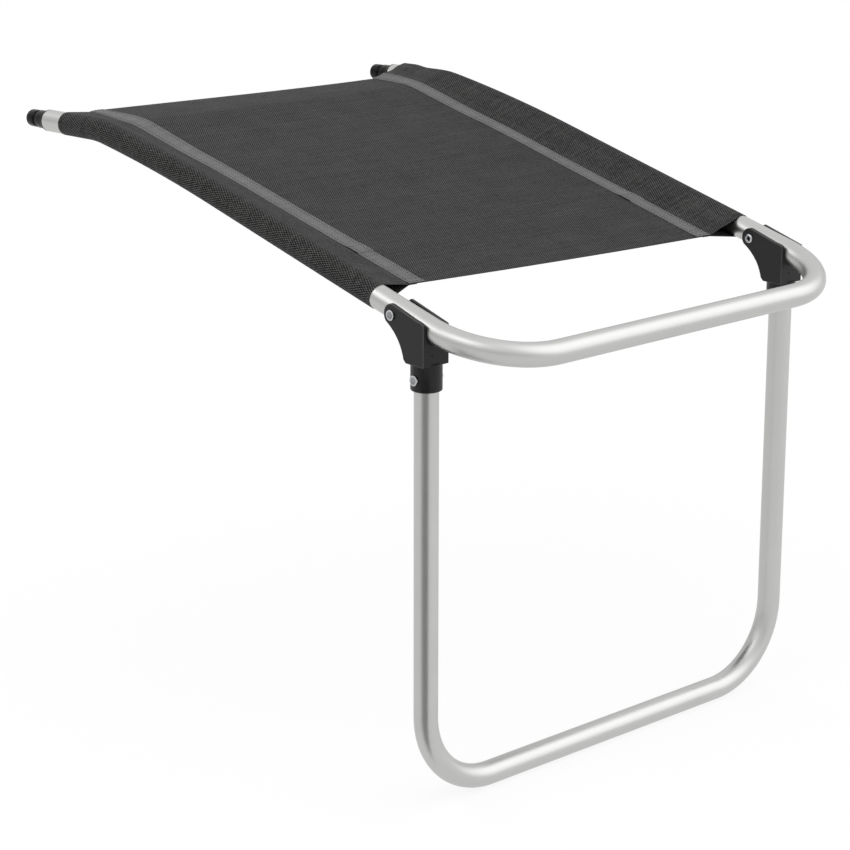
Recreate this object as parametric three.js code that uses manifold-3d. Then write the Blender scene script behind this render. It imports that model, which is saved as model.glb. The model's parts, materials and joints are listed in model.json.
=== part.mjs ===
// Leg rest that clips onto the front of a folding garden chair.
// A bent tube frame carries a stretched mesh seat, and a U-shaped leg folds up under it
// on two forked brackets. Millimetres, +Z up, +X to the right, +Y towards the chair.
// Pieces are laid out from the hinge datum: the rail axis where the legs stand.
import * as THREE from 'three';
import { mergeVertices } from 'three/addons/utils/BufferGeometryUtils.js';
import Module from 'manifold-3d';

const wasm = await Module();
wasm.setup();

const degrees = THREE.MathUtils.degToRad;
const QUARTER_TURN = Math.PI / 2;

// Shared fits and facets
const FIT_GAP = 0.3; // left between pieces that touch
const CUT_OVERRUN = 6; // how far a cutter runs past what it cuts
const CHORD_ERROR = 0.15; // how far a facet may leave a bend's true curve
const TUBE_SIDES = 20;
const BORE_SIDES = 12;
const TURNED_SIDES = 20;
const RIVET_SIDES = 16;
const ARC_STEPS = 8;

// Frame tube
const TUBE_DIAMETER = 22;
const TUBE_WALL = 1.5;
const RAIL_SPACING = 456; // between the two rail axes
const RAIL_SLOPE = degrees(12.7); // how steeply the rails climb towards the chair
const CROSSBAR_REACH = 85; // from the legs forward to the crossbar, along the rail
const CORNER_RADIUS = 78;
const RAIL_STRAIGHT = 309; // straight run behind the legs
const RAIL_SWEEP_LENGTH = 182; // long gentle curve after it
const RAIL_SWEEP_RADIUS = 2150;
const KNEE_RADIUS = 146; // sharper bend near the chair
const KNEE_ANGLE = degrees(10);
const TAIL_LENGTH = 76; // straight end that takes the plug

// Leg tube
const RAIL_HEIGHT = 447.6; // rail axis above the floor at the legs
const LEG_BEND_RADIUS = 77;
const LEG_TOP_DROP = 22; // leg tube's end below the rail axis

// End plug, from inside the tube to its tip
const PLUG_BODY_LENGTH = 25;
const PLUG_FLANGE_LENGTH = 1.5;
const PLUG_TAPER_LENGTH = 4;
const PLUG_COLLAR_DIAMETER = 18.4;
const PLUG_COLLAR_LENGTH = 11.5;
const PLUG_GROOVE_DIAMETER = 14.6;
const PLUG_GROOVE_LENGTH = 3;
const PLUG_HEAD_DIAMETER = 17.5;
const PLUG_HEAD_LENGTH = 13;
const PLUG_EDGE_RADIUS = 2;

// Forked bracket
const PIVOT_SETBACK = 30.5; // from the legs back to the pivot, along the rail
const BRACKET_WIDTH = 29.6;
const SADDLE_GAP = 0.5; // running clearance between the rail and the fork
const EAR_RADIUS = 10;
const CHEEK_FRONT_RISE = 8; // cheek's front corner above the rail axis
const LOW_CHEEK_RISE = 6.6; // right cheek's top above the rail axis, at the legs
const LOW_CHEEK_TAPER = degrees(1.8); // by how much steeper than the rail that top climbs
const BLOCK_FRONT = 12.5; // front face ahead of the leg axis
const BLOCK_REAR = 14;
const BLOCK_DROP = 32.5; // block's underside below the rail axis
const BLOCK_CHAMFER = 3;
const BLOCK_EDGE = 0.8; // rounding of the cheeks' outlines
const REAR_CURVE_ACROSS_SHARE = 0.19;
const REAR_CURVE_DOWN_SHARE = 0.37;
const EAR_TANGENT_ANGLE = degrees(-42);
const SOCKET_DIAMETER = 28;
const SOCKET_DROP = 56; // socket's mouth below the rail axis
const SOCKET_ROOT = 1.5; // how far the socket runs up into the block
const SOCKET_LIP_RADIUS = 1.2;

// Rivets
const PIVOT_SHANK_DIAMETER = 6;
const PIVOT_HEAD_DIAMETER = 9.5;
const PIVOT_HEAD_HEIGHT = 2.2;
const SOCKET_SHANK_DIAMETER = 5;
const SOCKET_HEAD_DIAMETER = 9.4;
const SOCKET_HEAD_HEIGHT = 2;
const SOCKET_RIVET_DROP = 45.5; // socket rivet below the rail axis
const TAIL_FLANGE_HEIGHT = 1.8;
const TAIL_FLANGE_SHARE = 0.96; // rolled end's diameter as a share of the head's
const TAIL_BORE_SHARE = 0.6; // rolled end's bore as a share of the shank
const TAIL_BORE_DEPTH = 5;
const HEAD_RIM_SHARE = 0.35; // straight rim of a head as a share of its height

// Mesh seat
const FABRIC_THICKNESS = 1;
const SEAM_WIDTH = 18;
const SEAM_LAP = 9; // sewn tongue of the sleeve under the seam band
const SEAM_BAND_THICKNESS = 0.6;
const SEAM_INSET_FRONT = 46; // rail axis to the seam's outer edge
const SEAM_INSET_REAR = 37;
const SEAM_LEVEL = -2; // seam above the rail axis, square to the rails
const REAR_LIFT = 7.7; // how far the seat rises where it leaves the knee
const PANEL_SAG = 1;
const PANEL_COLUMNS = 10;

// Where the mesh starts along the rails, measured from the legs
const FRONT_EDGE = { leftRail: 65, leftSeam: 78, rightSeam: 54, rightRail: 57.5 };
// How far short of the tube's end it stops
const REAR_BARE = { leftRail: 31.5, leftSeam: 12.5, rightSeam: 29.5, rightRail: 9.5 };

// Sizes that follow from the ones above
const TUBE_RADIUS = TUBE_DIAMETER / 2;
const TUBE_BORE_RADIUS = TUBE_RADIUS - TUBE_WALL;
const RAIL_OFFSET = RAIL_SPACING / 2;
const CHANNEL_RADIUS = TUBE_RADIUS + SADDLE_GAP;
const SNUG_RADIUS = TUBE_RADIUS + FIT_GAP; // inside of whatever fits round a tube
const PLUG_REACH = FIT_GAP + PLUG_FLANGE_LENGTH + PLUG_TAPER_LENGTH + PLUG_COLLAR_LENGTH
  + PLUG_GROOVE_LENGTH + PLUG_HEAD_LENGTH;

// The rail behind the legs, as runs of a length and the angle that each turns down
const RAIL_RUNS = [
  { length: RAIL_STRAIGHT, turn: 0 },
  { length: RAIL_SWEEP_LENGTH, turn: RAIL_SWEEP_LENGTH / RAIL_SWEEP_RADIUS },
  { length: KNEE_RADIUS * KNEE_ANGLE, turn: KNEE_ANGLE },
  { length: TAIL_LENGTH, turn: 0 },
];
const RAIL_LENGTH = RAIL_RUNS.reduce((sum, run) => sum + run.length, 0);
const REAR_EDGE = Object.fromEntries(
  Object.entries(REAR_BARE).map(([place, bare]) => [place, RAIL_LENGTH - bare]),
);

// Finishes
const FINISHES = {
  aluminium: { color: 0xc9cac8, roughness: 0.38, metalness: 0.9 },
  blackPlastic: { color: 0x2c2c2d, roughness: 0.55, metalness: 0 },
  plugPlastic: { color: 0x1e1c1c, roughness: 0.4, metalness: 0 },
  zincSteel: { color: 0xb9bcbe, roughness: 0.3, metalness: 1 },
  seatMesh: { color: 0x474747, roughness: 0.8, metalness: 0 },
  sleeveMesh: { color: 0x3a3a3a, roughness: 0.85, metalness: 0 },
  seamBand: { color: 0x6f6f6f, roughness: 0.6, metalness: 0 },
};

// Manifold helpers
function toSolid(geometry) {
  const bare = geometry.clone();
  bare.deleteAttribute('normal');
  bare.deleteAttribute('uv');
  const merged = mergeVertices(bare);
  return new wasm.Manifold(new wasm.Mesh({
    numProp: 3,
    vertProperties: new Float32Array(merged.attributes.position.array),
    triVerts: new Uint32Array(merged.index.array),
  }));
}

function toGeometry(solid) {
  const mesh = solid.getMesh();
  const geometry = new THREE.BufferGeometry();
  geometry.setAttribute('position', new THREE.BufferAttribute(mesh.vertProperties, 3));
  geometry.setIndex(new THREE.BufferAttribute(mesh.triVerts, 1));
  geometry.computeVertexNormals();
  return geometry;
}

function cut(geometry, ...cutters) {
  return toGeometry(cutters.reduce((rest, cutter) => rest.subtract(toSolid(cutter)), toSolid(geometry)));
}

// A cylinder whose axis runs along X through the given point
function crossCylinder(radius, length, at) {
  const rod = new THREE.CylinderGeometry(radius, radius, length, RIVET_SIDES);
  return rod.rotateZ(QUARTER_TURN).translate(at.x, at.y, at.z);
}

// Moves every vertex with place(vertex) and keeps the faces
function reshape(geometry, place) {
  const shaped = geometry.clone();
  const positions = shaped.attributes.position;
  const vertex = new THREE.Vector3();
  for (let i = 0; i < positions.count; i += 1) {
    place(vertex.fromBufferAttribute(positions, i));
    positions.setXYZ(i, vertex.x, vertex.y, vertex.z);
  }
  shaped.deleteAttribute('normal');
  shaped.deleteAttribute('uv');
  const merged = mergeVertices(shaped);
  merged.computeVertexNormals();
  return merged;
}

// The rail's course
// A run of the given length that turns by an angle ends along its chord, half a turn down.
function railAt(along) {
  const place = { y: 0, z: 0, heading: RAIL_SLOPE };
  let left = along;
  for (const run of RAIL_RUNS) {
    const step = run === RAIL_RUNS.at(-1) ? left : Math.min(left, run.length);
    const turn = run.turn * step / run.length;
    const chord = turn === 0 ? step : 2 * step / turn * Math.sin(turn / 2);
    place.y += chord * Math.cos(place.heading - turn / 2);
    place.z += chord * Math.sin(place.heading - turn / 2);
    place.heading -= turn;
    left -= step;
    if (left <= 0) {
      break;
    }
  }
  return place;
}

function facetsIn(radius, turn) {
  return Math.max(1, Math.ceil(turn / (2 * Math.acos(1 - CHORD_ERROR / radius))));
}

// Distances behind the legs at which the rail's facets meet
function railMarks() {
  const marks = [];
  let start = 0;
  for (const run of RAIL_RUNS) {
    const count = run.turn === 0 ? 1 : facetsIn(run.length / run.turn, run.turn);
    for (let i = 1; i <= count; i += 1) {
      marks.push(start + run.length * i / count);
    }
    start += run.length;
  }
  return marks;
}

// A tube's course as stations, one at each end of a straight run and several round a bend
class TubeRoute extends THREE.Curve {
  constructor(start, direction) {
    super();
    this.stations = [{ point: start, tangent: direction }];
  }

  run(length, turn = 0, axis = null) {
    const count = turn === 0 ? 1 : facetsIn(length / turn, turn);
    for (let i = 0; i < count; i += 1) {
      const last = this.stations.at(-1);
      const step = length / count;
      const stepTurn = turn / count;
      const chord = stepTurn === 0 ? step : 2 * step / stepTurn * Math.sin(stepTurn / 2);
      const middle = last.tangent.clone();
      const tangent = last.tangent.clone();
      if (axis) {
        middle.applyAxisAngle(axis, stepTurn / 2);
        tangent.applyAxisAngle(axis, stepTurn);
      }
      this.stations.push({ point: last.point.clone().addScaledVector(middle, chord), tangent });
    }
    return this;
  }

  bend(radius, turn, axis) {
    return this.run(radius * turn, turn, axis);
  }

  get steps() {
    return this.stations.length - 1;
  }

  getPointAt(share) {
    return this.stations[Math.round(share * this.steps)].point.clone();
  }

  getTangentAt(share) {
    return this.stations[Math.round(share * this.steps)].tangent.clone();
  }
}

function circleShape(radius) {
  const circle = new THREE.Shape();
  circle.absarc(0, 0, radius, 0, 2 * Math.PI, false);
  return circle;
}

function openTube(route) {
  const section = new THREE.Shape(circleShape(TUBE_RADIUS).getSpacedPoints(TUBE_SIDES).slice(1));
  const bore = circleShape(TUBE_BORE_RADIUS).getSpacedPoints(BORE_SIDES).slice(1);
  section.holes.push(new THREE.Path(bore));
  return new THREE.ExtrudeGeometry(section, { steps: route.steps, extrudePath: route });
}

// Frame tubes
const PIVOT = railAt(PIVOT_SETBACK);

function topFrameTube() {
  const rear = railAt(RAIL_LENGTH);
  const side = new THREE.Vector3(1, 0, 0);
  const upright = new THREE.Vector3(0, -Math.sin(RAIL_SLOPE), Math.cos(RAIL_SLOPE));
  const start = new THREE.Vector3(-RAIL_OFFSET, rear.y, rear.z);
  const forward = new THREE.Vector3(0, -Math.cos(rear.heading), -Math.sin(rear.heading));
  const route = new TubeRoute(start, forward);
  for (const run of [...RAIL_RUNS].reverse()) {
    route.run(run.length, run.turn, side);
  }
  route.run(CROSSBAR_REACH - CORNER_RADIUS)
    .bend(CORNER_RADIUS, QUARTER_TURN, upright)
    .run(RAIL_SPACING - 2 * CORNER_RADIUS)
    .bend(CORNER_RADIUS, QUARTER_TURN, upright)
    .run(CROSSBAR_REACH - CORNER_RADIUS);
  for (const run of RAIL_RUNS) {
    route.run(run.length, run.turn, side.clone().negate());
  }
  const holes = [-1, 1].map((sign) => rivetHole(sign, PIVOT_SHANK_DIAMETER, PIVOT));
  return cut(openTube(route), ...holes);
}

function legFrameTube() {
  const backward = new THREE.Vector3(0, -1, 0);
  const start = new THREE.Vector3(-RAIL_OFFSET, 0, -LEG_TOP_DROP);
  const upright = RAIL_HEIGHT - TUBE_RADIUS - LEG_BEND_RADIUS - LEG_TOP_DROP;
  const route = new TubeRoute(start, new THREE.Vector3(0, 0, -1));
  route.run(upright)
    .bend(LEG_BEND_RADIUS, QUARTER_TURN, backward)
    .run(RAIL_SPACING - 2 * LEG_BEND_RADIUS)
    .bend(LEG_BEND_RADIUS, QUARTER_TURN, backward)
    .run(upright);
  const level = { y: 0, z: -SOCKET_RIVET_DROP };
  const holes = [-1, 1].map((sign) => rivetHole(sign, SOCKET_SHANK_DIAMETER, level));
  return cut(openTube(route), ...holes);
}

function rivetHole(sign, shank, level) {
  const at = new THREE.Vector3(sign * RAIL_OFFSET, level.y, level.z);
  return crossCylinder(shank / 2 + FIT_GAP, TUBE_DIAMETER + CUT_OVERRUN, at);
}

// End plug, turned about the tail's axis from its blind end to its tip
function endPlug() {
  const bodyRadius = TUBE_BORE_RADIUS * Math.cos(Math.PI / BORE_SIDES) - FIT_GAP;
  const collar = PLUG_COLLAR_DIAMETER / 2;
  const groove = PLUG_GROOVE_DIAMETER / 2;
  const head = PLUG_HEAD_DIAMETER / 2;
  const flangeEnd = FIT_GAP + PLUG_FLANGE_LENGTH;
  const collarStart = flangeEnd + PLUG_TAPER_LENGTH;
  const collarEnd = collarStart + PLUG_COLLAR_LENGTH;
  const headStart = collarEnd + PLUG_GROOVE_LENGTH;
  const profile = new THREE.Path();
  profile.moveTo(0, -PLUG_BODY_LENGTH);
  profile.lineTo(bodyRadius, -PLUG_BODY_LENGTH);
  profile.lineTo(bodyRadius, FIT_GAP);
  profile.lineTo(TUBE_RADIUS, FIT_GAP);
  profile.lineTo(TUBE_RADIUS, flangeEnd);
  profile.lineTo(collar, collarStart);
  profile.lineTo(collar, collarEnd);
  profile.lineTo(groove, collarEnd);
  profile.lineTo(groove, headStart);
  roundedRim(profile, head, headStart, PLUG_REACH, PLUG_EDGE_RADIUS);
  profile.lineTo(0, PLUG_REACH);
  return turned(profile);
}

// A rim from its lower face to its upper face with both edges rounded
function roundedRim(profile, radius, low, high, edge) {
  profile.lineTo(radius - edge, low);
  profile.quadraticCurveTo(radius, low, radius, low + edge);
  profile.lineTo(radius, high - edge);
  profile.quadraticCurveTo(radius, high, radius - edge, high);
}

function turned(profile, sides = TURNED_SIDES) {
  return new THREE.LatheGeometry(profile.getPoints(2), sides);
}

// Rivet turned about Y: domed head upwards, rolled hollow end down, centred on its grip
function rivet(shankDiameter, headDiameter, headHeight, grip) {
  const shank = shankDiameter / 2;
  const head = headDiameter / 2;
  const seat = grip / 2 + FIT_GAP;
  const rim = headHeight * HEAD_RIM_SHARE;
  const tail = -seat - TAIL_FLANGE_HEIGHT;
  const flange = head * TAIL_FLANGE_SHARE;
  const bore = shank * TAIL_BORE_SHARE;
  const profile = new THREE.Path();
  profile.moveTo(0, tail + TAIL_BORE_DEPTH);
  profile.lineTo(bore, tail + TAIL_BORE_DEPTH);
  profile.lineTo(bore, tail + TAIL_FLANGE_HEIGHT / 2);
  profile.quadraticCurveTo(bore, tail, (bore + flange) / 2, tail);
  profile.quadraticCurveTo(flange, tail, flange, -seat);
  profile.lineTo(shank, -seat);
  profile.lineTo(shank, seat);
  profile.lineTo(head, seat);
  profile.lineTo(head, seat + rim);
  profile.quadraticCurveTo(head / 2, seat + headHeight, 0, seat + headHeight);
  return turned(profile, RIVET_SIDES);
}

// Forked bracket
function cheekOutline() {
  const climb = Math.tan(RAIL_SLOPE);
  const corner = CHEEK_FRONT_RISE / Math.cos(RAIL_SLOPE) - BLOCK_FRONT * climb;
  const ear = new THREE.Vector2(Math.cos(EAR_TANGENT_ANGLE), Math.sin(EAR_TANGENT_ANGLE));
  ear.multiplyScalar(EAR_RADIUS).add(new THREE.Vector2(PIVOT.y, PIVOT.z));
  const foot = new THREE.Vector2(BLOCK_REAR, BLOCK_CHAMFER - BLOCK_DROP);
  const control = new THREE.Vector2(
    foot.x + (ear.x - foot.x) * REAR_CURVE_ACROSS_SHARE,
    ear.y + (foot.y - ear.y) * REAR_CURVE_DOWN_SHARE,
  );
  const outline = new THREE.Shape();
  outline.moveTo(-BLOCK_FRONT, -BLOCK_DROP);
  outline.lineTo(foot.x - BLOCK_CHAMFER, -BLOCK_DROP);
  outline.lineTo(foot.x, foot.y);
  outline.quadraticCurveTo(control.x, control.y, ear.x, ear.y);
  outline.absarc(PIVOT.y, PIVOT.z, EAR_RADIUS, EAR_TANGENT_ANGLE, QUARTER_TURN + RAIL_SLOPE, false);
  outline.lineTo(-BLOCK_FRONT, corner);
  return outline;
}

// The outline is drawn in Y and Z and carried along X
function bracketBlock() {
  const block = new THREE.ExtrudeGeometry(cheekOutline(), {
    depth: BRACKET_WIDTH - 2 * BLOCK_EDGE,
    bevelThickness: BLOCK_EDGE,
    bevelSize: BLOCK_EDGE,
    bevelOffset: -BLOCK_EDGE,
    bevelSegments: 1,
    curveSegments: ARC_STEPS,
  });
  block.translate(0, 0, BLOCK_EDGE - BRACKET_WIDTH / 2);
  return block.applyMatrix4(new THREE.Matrix4().makeBasis(
    new THREE.Vector3(0, 1, 0),
    new THREE.Vector3(0, 0, 1),
    new THREE.Vector3(1, 0, 0),
  ));
}

// U-shaped cutter that the rail lies in: round below, straight above
function saddleChannel() {
  const height = EAR_RADIUS + CUT_OVERRUN;
  const reach = BLOCK_FRONT + BLOCK_REAR + BLOCK_DROP;
  const section = new THREE.Shape();
  section.moveTo(CHANNEL_RADIUS, height);
  section.lineTo(-CHANNEL_RADIUS, height);
  section.absarc(0, 0, CHANNEL_RADIUS, Math.PI, 2 * Math.PI, false);
  const channel = new THREE.ExtrudeGeometry(section, {
    depth: 2 * reach,
    bevelEnabled: false,
    curveSegments: TUBE_SIDES / 2,
  });
  return channel.translate(0, 0, -reach).rotateX(QUARTER_TURN + RAIL_SLOPE);
}

// Takes the right cheek down to its lower top edge
function lowCheekTrim() {
  const width = BRACKET_WIDTH / 2 + CUT_OVERRUN;
  const reach = BLOCK_FRONT + PIVOT_SETBACK + EAR_RADIUS + CUT_OVERRUN;
  const height = EAR_RADIUS + CUT_OVERRUN;
  const trim = new THREE.BoxGeometry(width, 2 * reach, height);
  return trim.translate(width / 2, 0, LOW_CHEEK_RISE + height / 2).rotateX(RAIL_SLOPE + LOW_CHEEK_TAPER);
}

// The cheeks stand alone behind the block, so that the rail can swing down between them
function rearPocket() {
  const depth = PIVOT.y + EAR_RADIUS + CUT_OVERRUN - BLOCK_REAR;
  const height = 2 * (BLOCK_DROP + CUT_OVERRUN);
  const pocket = new THREE.BoxGeometry(2 * CHANNEL_RADIUS, depth, height);
  return pocket.translate(0, BLOCK_REAR + depth / 2, 0);
}

function socket() {
  const radius = SOCKET_DIAMETER / 2;
  const top = SOCKET_ROOT - BLOCK_DROP;
  const profile = new THREE.Path();
  profile.moveTo(0, -SOCKET_DROP);
  profile.lineTo(radius - SOCKET_LIP_RADIUS, -SOCKET_DROP);
  profile.quadraticCurveTo(radius, -SOCKET_DROP, radius, SOCKET_LIP_RADIUS - SOCKET_DROP);
  profile.lineTo(radius, top);
  profile.lineTo(0, top);
  return turned(profile).rotateX(QUARTER_TURN);
}

function legBore() {
  const depth = SOCKET_DROP - LEG_TOP_DROP + FIT_GAP + CUT_OVERRUN;
  const bore = new THREE.CylinderGeometry(SNUG_RADIUS, SNUG_RADIUS, depth, 2 * TUBE_SIDES);
  return bore.rotateX(QUARTER_TURN).translate(0, 0, FIT_GAP - LEG_TOP_DROP - depth / 2);
}

function bracket() {
  const across = BRACKET_WIDTH + CUT_OVERRUN;
  const pivotHole = crossCylinder(
    PIVOT_SHANK_DIAMETER / 2 + FIT_GAP,
    across,
    new THREE.Vector3(0, PIVOT.y, PIVOT.z),
  );
  const socketHole = crossCylinder(
    SOCKET_SHANK_DIAMETER / 2 + FIT_GAP,
    across,
    new THREE.Vector3(0, 0, -SOCKET_RIVET_DROP),
  );
  const fork = toSolid(bracketBlock()).subtract(toSolid(rearPocket())).add(toSolid(socket()));
  return cut(toGeometry(fork), saddleChannel(), lowCheekTrim(), legBore(), pivotHole, socketHole);
}

// Mesh seat
// The seat is measured by inset, from a rail's axis inwards, and along, behind the legs.
const SEAM_X = RAIL_OFFSET - SEAM_INSET_FRONT;
const INNER_MARKS = railMarks().filter((mark) => mark < RAIL_LENGTH - TAIL_LENGTH / 2);
const SEAT_ROWS = INNER_MARKS.length + 1;

// Where an edge lies at x: straight from seam to seam, then over to its place on the rail
function edgeAt(edge, x) {
  const across = THREE.MathUtils.clamp((x + SEAM_X) / (2 * SEAM_X), 0, 1);
  const seam = THREE.MathUtils.lerp(edge.leftSeam, edge.rightSeam, across);
  const outward = THREE.MathUtils.clamp((Math.abs(x) - SEAM_X) / SEAM_INSET_FRONT, 0, 1);
  return THREE.MathUtils.lerp(seam, x < 0 ? edge.leftRail : edge.rightRail, outward);
}

// The seat's rows are its two skewed ends and, between them, the places where the rail bends
function alongAt(row, x) {
  if (row === 0) {
    return edgeAt(FRONT_EDGE, x);
  }
  return row === SEAT_ROWS ? edgeAt(REAR_EDGE, x) : INNER_MARKS[row - 1];
}

function levelAt(along) {
  const liftStart = RAIL_STRAIGHT + RAIL_SWEEP_LENGTH / 2;
  return SEAM_LEVEL + REAR_LIFT * THREE.MathUtils.smoothstep(along, liftStart, REAR_EDGE.leftSeam);
}

// How far inside the rail's axis the seam's outer edge lies
function seamInset(row, sign) {
  const along = alongAt(row, sign * SEAM_X);
  const share = (along - FRONT_EDGE.rightSeam) / (REAR_EDGE.leftSeam - FRONT_EDGE.rightSeam);
  return THREE.MathUtils.lerp(SEAM_INSET_FRONT, SEAM_INSET_REAR, share);
}

// A point that is rise above the rail axis, square to the rail
function onRail(x, along, rise) {
  const rail = railAt(along);
  return new THREE.Vector3(
    x,
    rail.y - rise * Math.sin(rail.heading),
    rail.z + rise * Math.cos(rail.heading),
  );
}

// Round the rail and in to a point, drawn with inset as x and rise as y
function dropShape(radius, tipInset, tipLow, tipHigh) {
  const touch = (level) => Math.acos(radius / Math.hypot(tipInset, level));
  const high = Math.atan2(tipHigh, tipInset) + touch(tipHigh);
  const low = Math.atan2(tipLow, tipInset) - touch(tipLow);
  const drop = new THREE.Shape();
  drop.absarc(0, 0, radius, high, 2 * Math.PI + low, false);
  drop.lineTo(tipInset, tipLow);
  return drop;
}

// Outer loop ends in the flat tongue that is sewn under the seam band
function sleeveLoops(inset, level) {
  const low = level - FABRIC_THICKNESS;
  const high = level + FABRIC_THICKNESS;
  const outer = dropShape(SNUG_RADIUS + FABRIC_THICKNESS, inset, low, high);
  outer.lineTo(inset + SEAM_LAP, low);
  outer.lineTo(inset + SEAM_LAP, high);
  outer.lineTo(inset, high);
  const inner = dropShape(SNUG_RADIUS, inset - FABRIC_THICKNESS, level, level);
  return [outer.getPoints(ARC_STEPS), inner.getPoints(ARC_STEPS)];
}

// Joins rows of two loops, one inside the other, into one closed skin
function loft(rows, outerCount, capFaces) {
  const count = rows[0].length;
  const index = [];
  const quad = (a, b, c, d) => index.push(a, b, c, a, c, d);
  for (let row = 0; row < rows.length - 1; row += 1) {
    const base = row * count;
    for (let k = 0; k < count; k += 1) {
      const loopStart = k < outerCount ? 0 : outerCount;
      const loopEnd = k < outerCount ? outerCount : count;
      const next = k + 1 === loopEnd ? loopStart : k + 1;
      const [near, far] = k < outerCount ? [k, next] : [next, k];
      quad(base + near, base + far, base + count + far, base + count + near);
    }
  }
  const lastBase = (rows.length - 1) * count;
  for (const [a, b, c] of capFaces) {
    index.push(c, b, a, lastBase + a, lastBase + b, lastBase + c);
  }
  const geometry = new THREE.BufferGeometry().setFromPoints(rows.flat());
  return geometry.setIndex(index);
}

function sleeve(sign) {
  const rows = [];
  let capFaces = null;
  let outerCount = 0;
  for (let row = 0; row <= SEAT_ROWS; row += 1) {
    const inset = seamInset(row, sign);
    const [outer, inner] = sleeveLoops(inset, levelAt(alongAt(row, sign * SEAM_X)));
    capFaces ??= THREE.ShapeUtils.triangulateShape(outer, [inner]);
    outerCount = outer.length;
    rows.push([...outer, ...inner].map((point) => {
      const x = sign * (RAIL_OFFSET - point.x);
      const along = alongAt(row, sign * Math.min(Math.abs(x), RAIL_OFFSET));
      return onRail(x, along, point.y);
    }));
  }
  const skin = loft(rows, outerCount, capFaces);
  if (sign < 0) {
    skin.setIndex([...skin.index.array].reverse());
  }
  skin.computeVertexNormals();
  return skin;
}

// A thin sheet between two edges given for each row, bent to the rails and closed all round
function seatSheet(columns, thickness, edgesAt, sagAt) {
  const slab = new THREE.BoxGeometry(1, SEAT_ROWS, 1, columns, SEAT_ROWS, 1);
  return reshape(slab, (vertex) => {
    const row = Math.round(vertex.y + SEAT_ROWS / 2);
    const across = vertex.x + 1 / 2;
    const x = THREE.MathUtils.lerp(...edgesAt(row), across);
    const along = alongAt(row, x);
    const rise = levelAt(along) - sagAt(across) + (vertex.z > 0 ? thickness : 0);
    vertex.copy(onRail(x, along, rise));
  });
}

function seatPanel() {
  const edge = (row, sign) => sign * (RAIL_OFFSET - seamInset(row, sign) - SEAM_LAP - FIT_GAP);
  const edges = (row) => [edge(row, -1), edge(row, 1)];
  const sag = (across) => PANEL_SAG * (1 - (2 * across - 1) ** 2);
  return seatSheet(PANEL_COLUMNS, FABRIC_THICKNESS, edges, sag);
}

function seamBand(sign) {
  const edges = (row) => {
    const outer = sign * (RAIL_OFFSET - seamInset(row, sign));
    return [outer, outer - sign * SEAM_WIDTH].sort((a, b) => a - b);
  };
  return seatSheet(2, SEAM_BAND_THICKNESS, edges, () => -FABRIC_THICKNESS - FIT_GAP);
}

// Assembly
function part(name, geometry, finish, position = new THREE.Vector3(), rotation = new THREE.Euler()) {
  const mesh = new THREE.Mesh(geometry, new THREE.MeshStandardMaterial(FINISHES[finish]));
  mesh.name = name;
  mesh.position.copy(position);
  mesh.rotation.copy(rotation);
  return mesh;
}

// Heads face outwards: the turned axis points to +X on the right and -X on the left
function rivetPart(name, sign, geometry, level) {
  const position = new THREE.Vector3(sign * RAIL_OFFSET, level.y, level.z);
  return part(name, geometry, 'zincSteel', position, new THREE.Euler(0, 0, -sign * QUARTER_TURN));
}

function plugPart(name, sign) {
  const rear = railAt(RAIL_LENGTH);
  const position = new THREE.Vector3(sign * RAIL_OFFSET, rear.y, rear.z);
  return part(name, endPlug(), 'plugPlastic', position, new THREE.Euler(rear.heading, 0, 0));
}

function seatFrame() {
  const group = new THREE.Group();
  group.add(part('top_frame_tube', topFrameTube(), 'aluminium'));
  group.add(part('seat_panel', seatPanel(), 'seatMesh'));
  for (const [side, sign] of [['left', -1], ['right', 1]]) {
    const pin = rivet(PIVOT_SHANK_DIAMETER, PIVOT_HEAD_DIAMETER, PIVOT_HEAD_HEIGHT, BRACKET_WIDTH);
    group.add(part(`${side}_sleeve`, sleeve(sign), 'sleeveMesh'));
    group.add(part(`${side}_seam_band`, seamBand(sign), 'seamBand'));
    group.add(plugPart(`${side}_end_plug`, sign));
    group.add(rivetPart(`${side}_pivot_rivet`, sign, pin, PIVOT));
  }
  return group;
}

function legFrame() {
  const group = new THREE.Group();
  const level = { y: 0, z: -SOCKET_RIVET_DROP };
  group.add(part('leg_frame_tube', legFrameTube(), 'aluminium'));
  for (const [side, sign] of [['left', -1], ['right', 1]]) {
    const pin = rivet(SOCKET_SHANK_DIAMETER, SOCKET_HEAD_DIAMETER, SOCKET_HEAD_HEIGHT, SOCKET_DIAMETER);
    const position = new THREE.Vector3(sign * RAIL_OFFSET, 0, 0);
    group.add(part(`${side}_bracket`, bracket(), 'blackPlastic', position));
    group.add(rivetPart(`${side}_socket_rivet`, sign, pin, level));
  }
  return group;
}

// The origin is midway between the tips of the two plugs, where the chair takes hold
function legRest() {
  const rear = railAt(RAIL_LENGTH + PLUG_REACH);
  const group = new THREE.Group();
  group.add(seatFrame(), legFrame());
  group.position.set(0, -rear.y, -rear.z);
  group.updateMatrixWorld(true);
  return group;
}

const group = legRest();
export default group;
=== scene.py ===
"""Looks of a clip-on leg rest: bent tubes, forked brackets, plugs, rivets and a stretched mesh seat.

Metres, +Z up, +Y towards the chair. Lengths along a rail are measured back from the legs.
"""

import json
import logging
import math
from collections.abc import Callable, Sequence
from dataclasses import astuple, dataclass, replace
from enum import Enum

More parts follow.
